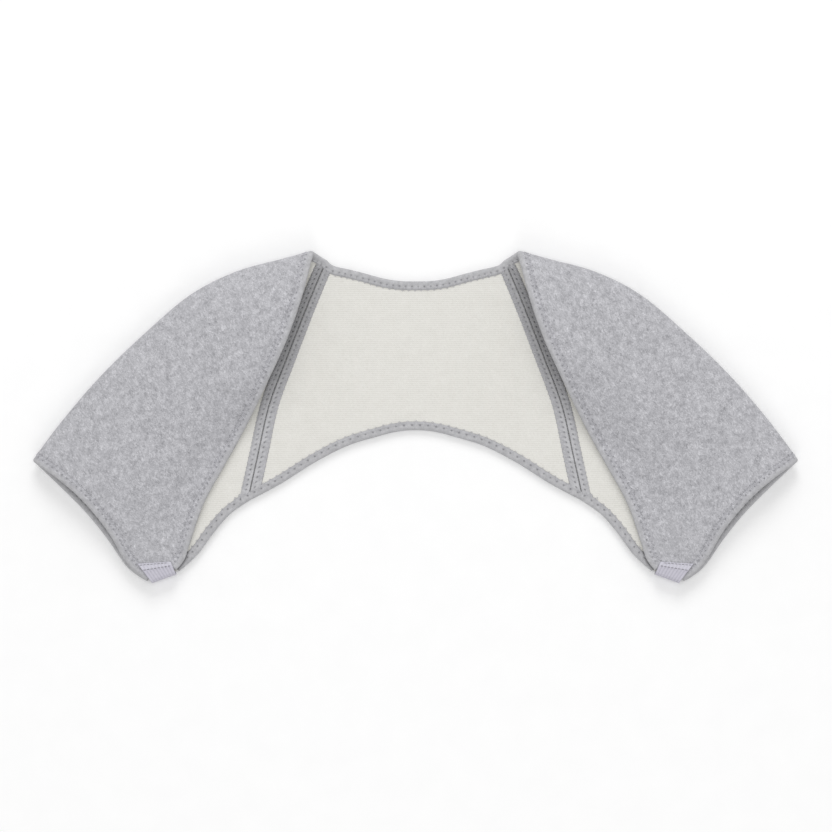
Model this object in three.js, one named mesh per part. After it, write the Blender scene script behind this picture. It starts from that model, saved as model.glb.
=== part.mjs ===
// Shoulder warmer laid on its back: a lined fleece back with two short sleeves folded over the shoulders.
// Millimetres. X runs across the shoulders, Y from hem to neck, Z up from the surface it lies on.
import * as THREE from "three";
import { mergeVertices } from "three/addons/utils/BufferGeometryUtils.js";

// Cloth layers, measured inward from the outer face
const FLEECE = 2.4;
const LINING = 1.0;
const TAPE = 1.0;
const LAYER_GAP = 0.3;
const TAPE_WIDTH = 6.6;
const BACK_TAPE_WIDTH = 8.5;
const TAPE_CLEARANCE = 0.3;
const STEP_WIDTH = 0.6;
const SEAM_GAP = 0.3;
const WELD = 1e-3;

// Heights of the sleeve above the surface: the middle of its fold and its crown, from front edge to cuff
const LOFT = [
  { along: 0.0, fold: 12, crown: 31 },
  { along: 0.5, fold: 11, crown: 23 },
  { along: 1.0, fold: 10.5, crown: 20 },
];
const CROWN_SHARE = 0.28;
const UNDERARM_FRONT = 11.9;
// The front rests on the back after this share of its fall at the inner edge, and after all of it from this
// share along the sleeve on
const REST_INNER = 0.45;
const REST_SPREAD = 0.6;
// Height of the front's outer face where its inner edge lies on the back's lining; it rises to pass over the
// hem from the first girth to the second, and towards the cuff from the first share along to the second
const REST_LOW = 10.0;
const REST_RISE = { fromGirth: 4.62, toGirth: 4.84, fromAlong: 0.15, toAlong: 0.5 };
// The back's small rise under the arm, by girth
const UNDERARM_BACK = 1.45;
const UNDERARM_LIFT_START = 0.95;
const UNDERARM_LIFT_FULL = 0.45;

// Cut outlines of one half: distance out from the middle and up from the middle of the length
const NECK = [
  { out: 0, up: 113.1 },
  { out: 13.1, up: 113.4 },
  { out: 27, up: 115.5 },
  { out: 41, up: 119.3 },
  { out: 55.5, up: 123.0 },
  { out: 69.9, up: 126.4 },
  { out: 75.8, up: 131.05 },
];
const HEM_BACK = [
  { out: 0, up: -10.3 },
  { out: 8, up: -10.6 },
  { out: 18, up: -12.0 },
  { out: 30, up: -15.0 },
  { out: 58, up: -23.6 },
  { out: 86, up: -37.8 },
  { out: 115, up: -56.0 },
  { out: 141.9, up: -70.4 },
];
const SEAM = [
  { out: 141.9, up: -70.4 },
  { out: 133.8, up: -34 },
  { out: 123.8, up: 10.2 },
  { out: 108.8, up: 50.4 },
  { out: 90.8, up: 96 },
  { out: 75.8, up: 131.05 },
];
const HEM_SLEEVE = [
  { out: 141.9, up: -70.4 },
  { out: 158, up: -82 },
  { out: 172, up: -97.8 },
  { out: 185.6, up: -116.0 },
  { out: 200.8, up: -130.1 },
];
const FOLD = [
  { out: 87.9, up: 140.2 },
  { out: 114.4, up: 132.9 },
  { out: 152, up: 122.5 },
  { out: 190.3, up: 103.0 },
  { out: 228.5, up: 70.8 },
  { out: 266.3, up: 34.2 },
  { out: 298, up: -2.5 },
  { out: 323.4, up: -36.4 },
];
const FRONT_EDGE = [
  { out: 87.9, up: 140.2 },
  { out: 97.5, up: 101 },
  { out: 110.5, up: 64 },
  { out: 126.5, up: 28 },
  { out: 143.2, up: -6 },
  { out: 162.8, up: -41 },
  { out: 180.8, up: -74 },
  { out: 192.2, up: -107 },
  { out: 196.8, up: -120.6 },
  { out: 203.6, up: -129.2 },
];
const CUFF_FRONT = [
  { out: 323.4, up: -36.4 },
  { out: 299.5, up: -53.4 },
  { out: 278.4, up: -72.5 },
  { out: 259.2, up: -96.6 },
  { out: 245.4, up: -120.4 },
  { out: 234.6, up: -132.4 },
  { out: 226.6, up: -137.6 },
];
const CUFF_BACK = [
  { out: 323.4, up: -36.4 },
  { out: 300.4, up: -58.1 },
  { out: 279, up: -79.6 },
  { out: 261, up: -101.6 },
  { out: 244.4, up: -125.1 },
  { out: 233.4, up: -134.4 },
  { out: 226.6, up: -138.4 },
];

// Shares of the back of the sleeve: fold roll, then down to the seam's lower end
const BACK_ROLL = 0.07;
const BACK_SEAM_END = 0.7;
const CUFF_ROLL = 0.104;
const CUFF_SEAM_END = 0.62;

// Elastic under the arm: corners of its folded shape in plan, and its section
const ELASTIC_CORNERS = {
  foldAtCuff: { out: 222.8, up: -141.0 },
  foldAtHem: { out: 202.4, up: -133.6 },
  topAtCuff: { out: 235.1, up: -124.5 },
  topAtFront: { out: 207.2, up: -122.8 },
};
const ELASTIC_THICK = 1.0;
const ELASTIC_CLEARANCE = 0.45;
const ELASTIC_BEND = 3.0;
const ELASTIC_COLUMNS = 5;
const ELASTIC_LEG_SHARES = [1, 0.7, 0.4, 0];
const ELASTIC_TURNS = 3;

// Rows and columns of the facets
const SLEEVE_FRONT_ROWS = [3.22, 3.47, 3.73, 4, 4.14, 4.28, 4.42, 4.56, 4.72, 4.88, 5];
const SLEEVE_ROLL_ROWS = [2.35, 2.68, 3];
const SLEEVE_HEM_ROWS = [0, 0.18, 0.4, 0.7];
const COLUMN_SHARES = [0.08, 0.2, 0.34, 0.48, 0.62, 0.76, 0.89];
const MOST_EDGE_SHARE = 0.3;
const BACK_COLUMNS = [0, 0.12, 0.24, 0.36, 0.48, 0.6, 0.72, 0.84];
const BACK_ROWS = [0.25, 0.5, 0.75];

const MATERIALS = {
  fleece: new THREE.MeshStandardMaterial({ color: 0xb7b6bb, roughness: 0.95, metalness: 0 }),
  lining: new THREE.MeshStandardMaterial({ color: 0xe2e0db, roughness: 0.9, metalness: 0 }),
  tape: new THREE.MeshStandardMaterial({ color: 0xb2b2b4, roughness: 0.9, metalness: 0 }),
  elastic: new THREE.MeshStandardMaterial({ color: 0xc4c2cc, roughness: 0.8, metalness: 0 }),
};

const UP = new THREE.Vector3(0, 0, 1);
const DOWN = new THREE.Vector3(0, 0, -1);

const curveOf = (rows) => new THREE.SplineCurve(rows.map(({ out, up }) => new THREE.Vector2(out, up)));
const neck = curveOf(NECK);
const hemBack = curveOf(HEM_BACK);
const seam = curveOf(SEAM);
const hemSleeve = curveOf(HEM_SLEEVE);
const fold = curveOf(FOLD);
const frontEdge = curveOf(FRONT_EDGE);
const cuffFront = curveOf(CUFF_FRONT);
const cuffBack = curveOf(CUFF_BACK);
const underarmFront = new THREE.LineCurve(frontEdge.getPoint(1), cuffFront.getPoint(1));
const underarmBack = new THREE.LineCurve(hemSleeve.getPoint(1), cuffBack.getPoint(1));

// A flat patch between four boundary curves; across runs 0 to 1 from first to second, down from top to foot.
function patch(first, second, top, foot, across, down) {
  const ruled = first.clone().multiplyScalar(1 - across).addScaledVector(second, across);
  const between = top(across).multiplyScalar(1 - down).addScaledVector(foot(across), down);
  const corners = top(0).multiplyScalar((1 - across) * (1 - down))
    .addScaledVector(top(1), across * (1 - down))
    .addScaledVector(foot(0), (1 - across) * down)
    .addScaledVector(foot(1), across * down);
  return ruled.add(between).sub(corners);
}

function loftAt(along, key) {
  const [start, middle, end] = LOFT.map((row) => row[key]);
  const bow = middle - (start + end) / 2;
  return start + (end - start) * along + bow * 4 * along * (1 - along);
}

function sleeveBackPlan(along, down) {
  let inner;
  let cuffShare;
  if (down < BACK_ROLL) {
    inner = fold.getPointAt(0).lerp(seam.getPointAt(1), down / BACK_ROLL);
    cuffShare = CUFF_ROLL * down / BACK_ROLL;
  } else if (down < BACK_SEAM_END) {
    const share = (down - BACK_ROLL) / (BACK_SEAM_END - BACK_ROLL);
    inner = seam.getPointAt(1 - share);
    cuffShare = CUFF_ROLL + (CUFF_SEAM_END - CUFF_ROLL) * share;
  } else {
    const share = (down - BACK_SEAM_END) / (1 - BACK_SEAM_END);
    inner = hemSleeve.getPointAt(share);
    cuffShare = CUFF_SEAM_END + (1 - CUFF_SEAM_END) * share;
  }
  const cuff = cuffBack.getPointAt(cuffShare);
  return patch(inner, cuff, (u) => fold.getPointAt(u), (u) => underarmBack.getPointAt(u), along, down);
}

function sleeveFrontPlan(along, down) {
  const inner = frontEdge.getPointAt(down);
  const cuff = cuffFront.getPointAt(down);
  return patch(inner, cuff, (u) => fold.getPointAt(u), (u) => underarmFront.getPointAt(u), along, down);
}

function restHeight(girth, along) {
  const { fromGirth, toGirth, fromAlong, toAlong } = REST_RISE;
  const rise = Math.max(THREE.MathUtils.smoothstep(girth, fromGirth, toGirth),
    THREE.MathUtils.smoothstep(along, fromAlong, toAlong));
  return REST_LOW + (UNDERARM_FRONT - REST_LOW) * rise;
}

// Outer face of a sleeve, by girth: 0 back's underarm, 1 seam's lower end, 2 its upper end, 3 fold, 4 crown,
// 5 front's underarm; along runs from the inner edge at 0 to the cuff at 1.
function sleevePoint(girth, along) {
  const foldHeight = loftAt(along, "fold");
  const crown = loftAt(along, "crown");
  let plan;
  let height;
  if (girth <= 2) {
    const down = girth < 1
      ? 1 - girth * (1 - BACK_SEAM_END)
      : BACK_SEAM_END - (girth - 1) * (BACK_SEAM_END - BACK_ROLL);
    plan = sleeveBackPlan(along, down);
    height = UNDERARM_BACK * (1 - THREE.MathUtils.smoothstep(girth, UNDERARM_LIFT_FULL, UNDERARM_LIFT_START));
  } else if (girth <= 3) {
    const turn = (3 - girth) * Math.PI / 2;
    plan = sleeveBackPlan(along, BACK_ROLL * (1 - Math.cos(turn)));
    height = foldHeight * (1 - Math.sin(turn));
  } else if (girth <= 4) {
    const turn = (girth - 3) * Math.PI / 2;
    plan = sleeveFrontPlan(along, CROWN_SHARE * (1 - Math.cos(turn)));
    height = foldHeight + (crown - foldHeight) * Math.sin(turn);
  } else {
    const fall = girth - 4;
    const rest = REST_INNER + (1 - REST_INNER) * THREE.MathUtils.smoothstep(along, 0, REST_SPREAD);
    const settled = Math.min(1, fall / rest);
    plan = sleeveFrontPlan(along, CROWN_SHARE + (1 - CROWN_SHARE) * fall);
    const low = restHeight(girth, along);
    height = low + (crown - low) * (1 + Math.cos(Math.PI * settled)) / 2;
  }
  return new THREE.Vector3(plan.x, plan.y, height);
}

function backPoint(across, upward) {
  const middle = hemBack.getPointAt(0).lerp(neck.getPointAt(0), upward);
  const plan = patch(middle, seam.getPointAt(upward), (u) => hemBack.getPointAt(u), (u) => neck.getPointAt(u),
    across, upward);
  return new THREE.Vector3(plan.x, plan.y, 0);
}

// One-sided or central slopes of a surface along its two parameters
const PROBE = 1e-3;
function slopes(surface, u, v, uMax, vMax) {
  const low = Math.max(0, u - PROBE);
  const high = Math.min(uMax, u + PROBE);
  const near = Math.max(0, v - PROBE);
  const far = Math.min(vMax, v + PROBE);
  const alongU = surface(high, v).sub(surface(low, v)).divideScalar(high - low);
  const alongV = surface(u, far).sub(surface(u, near)).divideScalar(far - near);
  return { alongU, alongV };
}

// How far a parameter moves for a millimetre measured square to the edge it leaves
function squareStep(run, edge) {
  const square = run.clone().addScaledVector(edge, -run.dot(edge) / edge.lengthSq());
  return 1 / square.length();
}

const edgeZone = TAPE_WIDTH + TAPE_CLEARANCE;
const seamZone = BACK_TAPE_WIDTH;
const recess = TAPE + LAYER_GAP;
const liningTop = FLEECE + LAYER_GAP;
const liningFoot = liningTop + LINING;
const innerTapeTop = liningFoot + LAYER_GAP;
const stackDepth = innerTapeTop + TAPE;

// The back panel's grid: columns from the left seam to the right, rows from hem to neck
function backHalfGrid() {
  const seamStep = (upward) => {
    const { alongU, alongV } = slopes(backPoint, 1, upward, 1, 1);
    return squareStep(alongU, alongV);
  };
  const edgeStep = (across, upward) => {
    const { alongU, alongV } = slopes(backPoint, across, upward, 1, 1);
    return squareStep(alongV, alongU);
  };
  const columns = [
    ...BACK_COLUMNS.map((share) => () => share),
    (upward) => 1 - seamStep(upward) * (seamZone + STEP_WIDTH),
    (upward) => 1 - seamStep(upward) * seamZone,
    (upward) => 1 - seamStep(upward) * SEAM_GAP / 2,
  ];
  const rows = [
    () => 0,
    (across) => edgeStep(across, 0) * edgeZone,
    (across) => edgeStep(across, 0) * (edgeZone + STEP_WIDTH),
    ...BACK_ROWS.map((share) => () => share),
    (across) => 1 - edgeStep(across, 1) * (edgeZone + STEP_WIDTH),
    (across) => 1 - edgeStep(across, 1) * edgeZone,
    () => 1,
  ];
  return rows.map((row) => columns.map((column) => {
    const upward = row(column(row(column(0.5))));
    const across = column(upward);
    return { point: backPoint(across, row(across)), inward: UP.clone(), upward: row(across) };
  }));
}

const backHalf = backHalfGrid();
const mirrorVertex = ({ point, inward }) => ({
  point: new THREE.Vector3(-point.x, point.y, point.z),
  inward: new THREE.Vector3(-inward.x, inward.y, inward.z),
});
const backGrid = backHalf.map((row) => [...row.slice(1).reverse().map(mirrorVertex), ...row]);

// The back's rows where they meet the seam, as shares of it from its lower end; the sleeve's rows meet them
const lastColumn = backHalf[0].length - 1;
const seamShares = backHalf.map((row) => row[lastColumn].upward);
const hemCross = seamShares[1];
const neckCross = seamShares[seamShares.length - 2];

// A sleeve's grid: rows round the girth, columns from inner edge to cuff
const sleeveRows = [
  ...SLEEVE_HEM_ROWS,
  ...seamShares.map((share) => 1 + share),
  ...SLEEVE_ROLL_ROWS,
  ...SLEEVE_FRONT_ROWS,
];
const rowOf = (girth) => sleeveRows.indexOf(girth);
const seamFootRow = rowOf(1);
const hemCrossRow = rowOf(1 + hemCross);
const neckCrossRow = rowOf(1 + neckCross);
const seamHeadRow = rowOf(2);
const lastRow = sleeveRows.length - 1;

function sleeveColumns(girth) {
  const inner = slopes(sleevePoint, girth, 0, 5, 1);
  const cuff = slopes(sleevePoint, girth, 1, 5, 1);
  const innerStep = squareStep(inner.alongV, inner.alongU);
  const cuffStep = squareStep(cuff.alongV, cuff.alongU);
  const start = Math.min(innerStep * edgeZone, MOST_EDGE_SHARE);
  const end = 1 - Math.min(cuffStep * edgeZone, MOST_EDGE_SHARE);
  const onSeam = girth > 1 && girth < 2;
  return [
    onSeam ? innerStep * SEAM_GAP / 2 : 0,
    start,
    start * (1 + STEP_WIDTH / edgeZone),
    ...COLUMN_SHARES.map((share) => start + (end - start) * share),
    end - (1 - end) * STEP_WIDTH / edgeZone,
    end,
    1,
  ];
}

function sleeveVertex(girth, along) {
  const { alongU, alongV } = slopes(sleevePoint, girth, along, 5, 1);
  const inward = alongV.clone().cross(alongU).normalize();
  return { point: sleevePoint(girth, along), inward };
}

const sleeveGrid = sleeveRows.map((girth) => sleeveColumns(girth).map((along) => sleeveVertex(girth, along)));
const cuffColumn = sleeveGrid[0].length - 1;

// Faces and vertices gathered into one closed body
const at = ({ point, inward }, depth) => point.clone().addScaledVector(inward, depth);

function closedBody(points, quads) {
  const triangles = quads.flatMap(([a, b, c, d]) => [[a, b, c], [a, c, d]]);
  const soup = new THREE.BufferGeometry().setFromPoints(points);
  soup.setIndex(triangles.flat());
  const welded = mergeVertices(soup, WELD);
  const index = welded.getIndex().array;
  const place = welded.getAttribute("position");
  const corners = [];
  let volume = 0;
  for (let i = 0; i < index.length; i += 3) {
    const [a, b, c] = index.slice(i, i + 3);
    if (a !== b && b !== c && c !== a) {
      corners.push([a, b, c]);
      const [pa, pb, pc] = [a, b, c].map((n) => new THREE.Vector3().fromBufferAttribute(place, n));
      volume += pa.dot(pb.cross(pc));
    }
  }
  welded.setIndex(corners.map(([a, b, c]) => (volume > 0 ? [a, b, c] : [a, c, b])).flat());
  welded.computeVertexNormals();
  return welded;
}

// A wall over part of a grid, between two depths below the outer face
function wall(grid, rows, columns, shallow, deep) {
  const height = rows.length;
  const width = columns.length;
  const face = (depth) => rows.flatMap((i) => columns.map((j) => at(grid[i][j], depth(i, j))));
  const points = [...face(shallow), ...face(deep)];
  const under = height * width;
  const quads = [];
  for (let i = 0; i + 1 < height; i += 1) {
    for (let j = 0; j + 1 < width; j += 1) {
      const a = i * width + j;
      quads.push([a, a + 1, a + width + 1, a + width]);
      quads.push([under + a, under + a + width, under + a + width + 1, under + a + 1]);
    }
  }
  const rim = [
    ...columns.map((_, j) => j),
    ...rows.slice(1).map((_, i) => (i + 1) * width + width - 1),
    ...columns.slice(1).map((_, j) => under - 2 - j),
    ...rows.slice(2).map((_, i) => (height - 2 - i) * width),
  ];
  rim.forEach((a, n) => {
    const b = rim[(n + 1) % rim.length];
    quads.push([b, a, under + a, under + b]);
  });
  return closedBody(points, quads);
}

const range = (first, last) => Array.from({ length: last - first + 1 }, (_, n) => first + n);

// A tape folded round an edge: each station has a vertex on the edge and some at the tape's inner side, and
// leans its facets' diagonals from the edge (1) or to the edge (-1), as the cloth under them has theirs.
const INNER_SIDE_CORNERS = [0, 3, 4, 7];
function binding(stations) {
  const profiles = stations.flatMap(({ edge, inner }, n) => {
    const before = stations[Math.max(0, n - 1)].edge.point;
    const after = stations[Math.min(stations.length - 1, n + 1)].edge.point;
    const outward = after.clone().sub(before).cross(edge.inward).normalize();
    if (outward.dot(inner[0].point.clone().sub(edge.point)) > 0) {
      outward.negate();
    }
    const past = (depth, distance) => at(edge, depth).addScaledVector(outward, distance);
    return inner.map((vertex) => {
      const width = vertex.point.distanceTo(edge.point);
      const share = TAPE_CLEARANCE / Math.max(width, TAPE_WIDTH);
      const inside = (depth) => at(vertex, depth).lerp(at(edge, depth), share);
      return [
        inside(0),
        past(0, recess),
        past(stackDepth, recess),
        inside(stackDepth),
        inside(innerTapeTop),
        past(innerTapeTop, LAYER_GAP),
        past(TAPE, LAYER_GAP),
        inside(TAPE),
      ];
    });
  });
  const leans = stations.flatMap(({ inner, lean }) => inner.map(() => lean));
  const size = profiles[0].length;
  const quads = [];
  for (let n = 0; n + 1 < profiles.length; n += 1) {
    for (let k = 0; k < size; k += 1) {
      const next = (k + 1) % size;
      const quad = [n * size + k, n * size + next, (n + 1) * size + next, (n + 1) * size + k];
      const turned = (leans[n] > 0) === INNER_SIDE_CORNERS.includes(k);
      quads.push(turned ? [...quad.slice(1), quad[0]] : quad);
    }
  }
  const caps = [[0, 1, 6, 7], [1, 2, 5, 6], [2, 3, 4, 5]];
  const end = (profiles.length - 1) * size;
  caps.forEach((cap) => {
    quads.push([...cap].reverse());
    quads.push(cap.map((k) => end + k));
  });
  return closedBody(profiles.flat(), quads);
}

const mirrorStation = ({ edge, inner, lean }) => ({
  edge: mirrorVertex(edge),
  inner: inner.map(mirrorVertex).reverse(),
  lean: -lean,
});
const bothHalves = (stations) => [...stations.slice(1).reverse().map(mirrorStation), ...stations];

const leaning = (stations, lean) => stations.map((station) => ({ ...station, lean }));

const sleeveStation = (i, edge, inner) => ({ edge: sleeveGrid[i][edge], inner: [sleeveGrid[i][inner]] });

// Stations from the middle of the neck to the front's underarm
function neckStations() {
  const row = backHalf.length - 1;
  const onBack = range(0, lastColumn).map((j) => ({ edge: backHalf[row][j], inner: [backHalf[row - 1][j]] }));
  const atSeam = {
    edge: sleeveGrid[seamHeadRow][0],
    inner: [sleeveGrid[neckCrossRow][0], sleeveGrid[neckCrossRow][1], sleeveGrid[seamHeadRow][1]],
  };
  const onSleeve = range(seamHeadRow + 1, lastRow).map((i) => sleeveStation(i, 0, 1));
  return leaning([...onBack, atSeam, ...onSleeve], 1);
}

// Stations from the middle of the hem to the back's underarm
function hemStations() {
  const onBack = range(0, lastColumn).map((j) => ({ edge: backHalf[0][j], inner: [backHalf[1][j]] }));
  const atSeam = {
    edge: sleeveGrid[seamFootRow][0],
    inner: [sleeveGrid[hemCrossRow][0], sleeveGrid[seamFootRow][1]],
  };
  const onSleeve = range(0, seamFootRow - 1).reverse().map((i) => sleeveStation(i, 0, 1));
  return leaning([...onBack, atSeam, ...onSleeve], -1);
}

// Stations from the back's underarm round the cuff to the front's underarm
function cuffStations() {
  const onSleeve = range(0, lastRow).map((i) => sleeveStation(i, cuffColumn, cuffColumn - 1));
  return leaning(onSleeve, -1);
}

// Height of the sleeve front's outer face above a place in plan near the underarm
const SEARCH_GIRTH = 4.9;
const SEARCH_ALONG = 0.5;
const SEARCH_STEPS = 12;
function frontHeight(out, up) {
  let girth = SEARCH_GIRTH;
  let along = SEARCH_ALONG;
  for (let n = 0; n < SEARCH_STEPS; n += 1) {
    const { alongU, alongV } = slopes(sleevePoint, Math.min(girth, 5), along, 5, 1);
    const here = sleevePoint(Math.min(girth, 5), along);
    const miss = new THREE.Vector2(out - here.x, up - here.y);
    const area = alongU.x * alongV.y - alongU.y * alongV.x;
    girth = Math.min(5, girth + (miss.x * alongV.y - miss.y * alongV.x) / area);
    along = THREE.MathUtils.clamp(along + (alongU.x * miss.y - alongU.y * miss.x) / area, 0, 1);
  }
  return sleevePoint(girth, along).z;
}

// The elastic: over the front's lower end, round its edge and back under it
function elasticGrid() {
  const corner = ({ out, up }) => new THREE.Vector2(out, up);
  const { foldAtCuff, foldAtHem, topAtCuff, topAtFront } = ELASTIC_CORNERS;
  const bend = ELASTIC_BEND;
  const turns = range(1, ELASTIC_TURNS).map((n) => n / ELASTIC_TURNS * Math.PI / 2);
  const columns = range(0, ELASTIC_COLUMNS).map((n) => {
    const share = n / ELASTIC_COLUMNS;
    const foldEnd = corner(foldAtCuff).lerp(corner(foldAtHem), share);
    const topEnd = corner(topAtCuff).lerp(corner(topAtFront), share);
    const length = topEnd.distanceTo(foldEnd);
    const away = topEnd.clone().sub(foldEnd).divideScalar(length);
    const place = (run, height) => {
      const plan = foldEnd.clone().addScaledVector(away, run);
      return new THREE.Vector3(plan.x, plan.y, height);
    };
    const over = (run) => {
      const { x, y } = place(run, 0);
      return frontHeight(x, y) + ELASTIC_CLEARANCE + ELASTIC_THICK;
    };
    const legs = ELASTIC_LEG_SHARES.map((part) => bend + (length - bend) * part);
    const top = over(bend);
    const upperLeg = legs.map((run) => ({ outer: place(run, over(run)), inward: DOWN.clone() }));
    const round = (turn, side) => {
      const centre = place(bend, side > 0 ? top - bend : bend);
      const reach = -Math.sin(turn);
      const outward = new THREE.Vector3(away.x * reach, away.y * reach, side * Math.cos(turn));
      return { outer: centre.addScaledVector(outward, bend), inward: outward.negate() };
    };
    const lowerLeg = legs.map((run) => ({ outer: place(run, 0), inward: UP.clone() }));
    return [
      ...upperLeg,
      ...turns.map((turn) => round(turn, 1)),
      ...turns.map((turn) => round(turn, -1)).reverse(),
      ...lowerLeg.reverse(),
    ];
  });
  return range(0, columns[0].length - 1)
    .map((i) => columns.map((column) => ({ point: column[i].outer, inward: column[i].inward })));
}

const elastic = elasticGrid();
const elasticRows = range(0, elastic.length - 1);
const elasticColumns = range(0, ELASTIC_COLUMNS);

const flat = (depth) => () => depth;
const backRows = range(0, backGrid.length - 1);
const backColumns = range(0, backGrid[0].length - 1);
const sleeveRowIndex = range(0, lastRow);
const sleeveColumnIndex = range(0, cuffColumn);

const backRecess = (i) => (i <= 1 || i >= backGrid.length - 2 ? recess : 0);
function sleeveRecess(i, j) {
  const underCuff = j >= cuffColumn - 1;
  const underInner = j <= 1 && (i <= hemCrossRow || i >= neckCrossRow);
  return underCuff || underInner ? recess : 0;
}

const tapeRows = range(hemCrossRow + 1, neckCrossRow - 1);
const tapeColumns = [0, 1];
const tapeBackRows = range(2, backHalf.length - 3);
const tapeBackColumns = [lastColumn - 1, lastColumn];

const model = new THREE.Group();
function add(parent, name, geometry, material) {
  const mesh = new THREE.Mesh(geometry, material);
  mesh.name = name;
  parent.add(mesh);
}

add(model, "back_panel", wall(backGrid, backRows, backColumns, backRecess, flat(FLEECE)), MATERIALS.fleece);
add(model, "back_lining",
  wall(backGrid, backRows, backColumns, flat(liningTop), flat(liningFoot)), MATERIALS.lining);
add(model, "neck_binding", binding(bothHalves(neckStations())), MATERIALS.tape);
add(model, "hem_binding", binding(bothHalves(hemStations())), MATERIALS.tape);

[{ side: "right", mirror: 1 }, { side: "left", mirror: -1 }].forEach(({ side, mirror }) => {
  const half = new THREE.Group();
  half.scale.x = mirror;
  model.add(half);
  add(half, `${side}_sleeve`,
    wall(sleeveGrid, sleeveRowIndex, sleeveColumnIndex, sleeveRecess, flat(FLEECE)), MATERIALS.fleece);
  add(half, `${side}_sleeve_lining`,
    wall(sleeveGrid, sleeveRowIndex, sleeveColumnIndex, flat(liningTop), flat(liningFoot)), MATERIALS.lining);
  add(half, `${side}_cuff_binding`, binding(cuffStations()), MATERIALS.tape);
  add(half, `${side}_sleeve_tape`,
    wall(sleeveGrid, tapeRows, tapeColumns, flat(innerTapeTop), flat(stackDepth)), MATERIALS.tape);
  add(half, `${side}_back_tape`,
    wall(backHalf, tapeBackRows, tapeBackColumns, flat(innerTapeTop), flat(stackDepth)), MATERIALS.tape);
  add(half, `${side}_elastic`,
    wall(elastic, elasticRows, elasticColumns, flat(0), flat(ELASTIC_THICK)), MATERIALS.elastic);
});

export default model;
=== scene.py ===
import math

import bpy
import numpy as np
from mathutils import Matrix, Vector
from mathutils.kdtree import KDTree


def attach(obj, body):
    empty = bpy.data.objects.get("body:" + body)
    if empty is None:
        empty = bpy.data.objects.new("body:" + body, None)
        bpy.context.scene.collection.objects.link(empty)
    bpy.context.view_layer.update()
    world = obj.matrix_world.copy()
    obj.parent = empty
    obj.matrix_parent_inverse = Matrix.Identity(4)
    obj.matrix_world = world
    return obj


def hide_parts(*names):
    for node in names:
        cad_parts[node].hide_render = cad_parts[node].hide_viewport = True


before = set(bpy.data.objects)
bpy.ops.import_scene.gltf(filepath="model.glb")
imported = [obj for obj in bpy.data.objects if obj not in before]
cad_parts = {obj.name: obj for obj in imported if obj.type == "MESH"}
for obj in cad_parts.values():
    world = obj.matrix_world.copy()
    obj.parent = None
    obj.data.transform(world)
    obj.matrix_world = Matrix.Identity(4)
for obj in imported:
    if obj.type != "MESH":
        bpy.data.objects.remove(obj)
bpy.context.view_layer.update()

# Sizes in millimetres; meshes are written in metres
MM = 0.001


def table(columns, *rows):
    """Rows of numbers, each by the names of the columns."""
    return [dict(zip(columns.split(), row)) for row in rows]


def column(rows, key):
    return np.array([row[key] for row in rows], float)


# Cloth layers, measured inward from the outer face
FLEECE = 2.4
LINING_TOP = 2.7
LINING_FOOT = 3.7
TAPE_TOP = 4.0
TAPE_FOOT = 5.0

# Edge tape: for its outer leg and the leg on the wearer's side, how far it reaches in, the row of needle holes, the
# tips of the zigzag and how much painted shade the thread takes where it sinks at the tips
TAPE_LEGS = {
    "outer": {"reach": 6.6, "hole": 3.8, "tip": 8.0, "tip_shade": 0.95},
    "wearer": {"reach": 6.0, "hole": 3.1, "tip": 7.2, "tip_shade": 0.45},
}
TAPE_RECESS = 1.3
STITCH_PITCH = 5.2
HEM_PITCH = 6.6
HOLE_DIP = 0.28
HOLE_WIDTH = 0.9
TRACK_REACH = 11
STATION_STEP = 1.2
LINE_PARTS = 1500
# The section of an edge tape in four runs: its outer face, the bend round the cloth edge, its face towards the
# wearer and its underside (in: from the cloth edge into the panel, deep: from the outer face towards the wearer)
OUTER_FACE = table("in deep",
    (6.70, 0.50), (6.40, 0.22), (5.70, 0.00), (4.90, -0.09), (4.30, -0.05), (3.80, 0.00), (3.30, -0.05),
    (2.60, -0.10), (1.20, -0.10), (0.20, 0.02))
EDGE_BEND = table("in deep",
    (-0.55, 0.42), (-1.08, 1.15), (-1.28, 2.00), (-1.30, 2.50), (-1.28, 3.00), (-1.08, 3.85), (-0.55, 4.58))
WEARER_FACE = table("in deep",
    (0.20, 4.98), (1.00, 5.10), (2.00, 5.10), (2.60, 5.03), (3.10, 4.96), (3.60, 5.03), (4.20, 5.06),
    (4.80, 4.94), (5.40, 4.60), (5.85, 4.22), (6.05, 4.02))
UNDERSIDE = table("in deep",
    (5.60, 3.98), (4.20, 4.00), (2.00, 4.00), (0.20, 3.90), (-0.30, 3.40), (-0.30, 1.60), (0.20, 1.10),
    (2.00, 1.00), (5.00, 1.00), (6.40, 0.80))
TAPE_SECTION = OUTER_FACE + EDGE_BEND + WEARER_FACE + UNDERSIDE
EDGE_OUT = max(-row["in"] for row in EDGE_BEND)
STACK_MIDDLE = 2.5
FACE_FROM_MIDDLE = 2

# Seam tape: a flat strip on each side of the seam
SLEEVE_STRIP = 7.2
BACK_STRIP = 8.6
BACK_STRIP_AT_NECK = 6.8
SEAM_PITCH = 4.4
SEAM_HOLE_IN = 3.4
SEAM_TIP_PAST = 0.7
SEAM_CLEAR = 4.6
SEAM_FACE = 4.6
# (in: from the seam, deep: from the outer face)
SEAM_SECTION = table("in deep",
    (0.45, 4.02), (0.30, 4.45), (0.50, 5.00), (1.10, 5.22), (1.80, 5.16), (2.60, 5.02), (3.40, 4.92),
    (4.20, 5.02), (5.20, 5.00), (6.20, 4.75), (6.95, 4.35), (7.35, 4.02), (7.00, 3.98), (3.80, 4.00))

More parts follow.
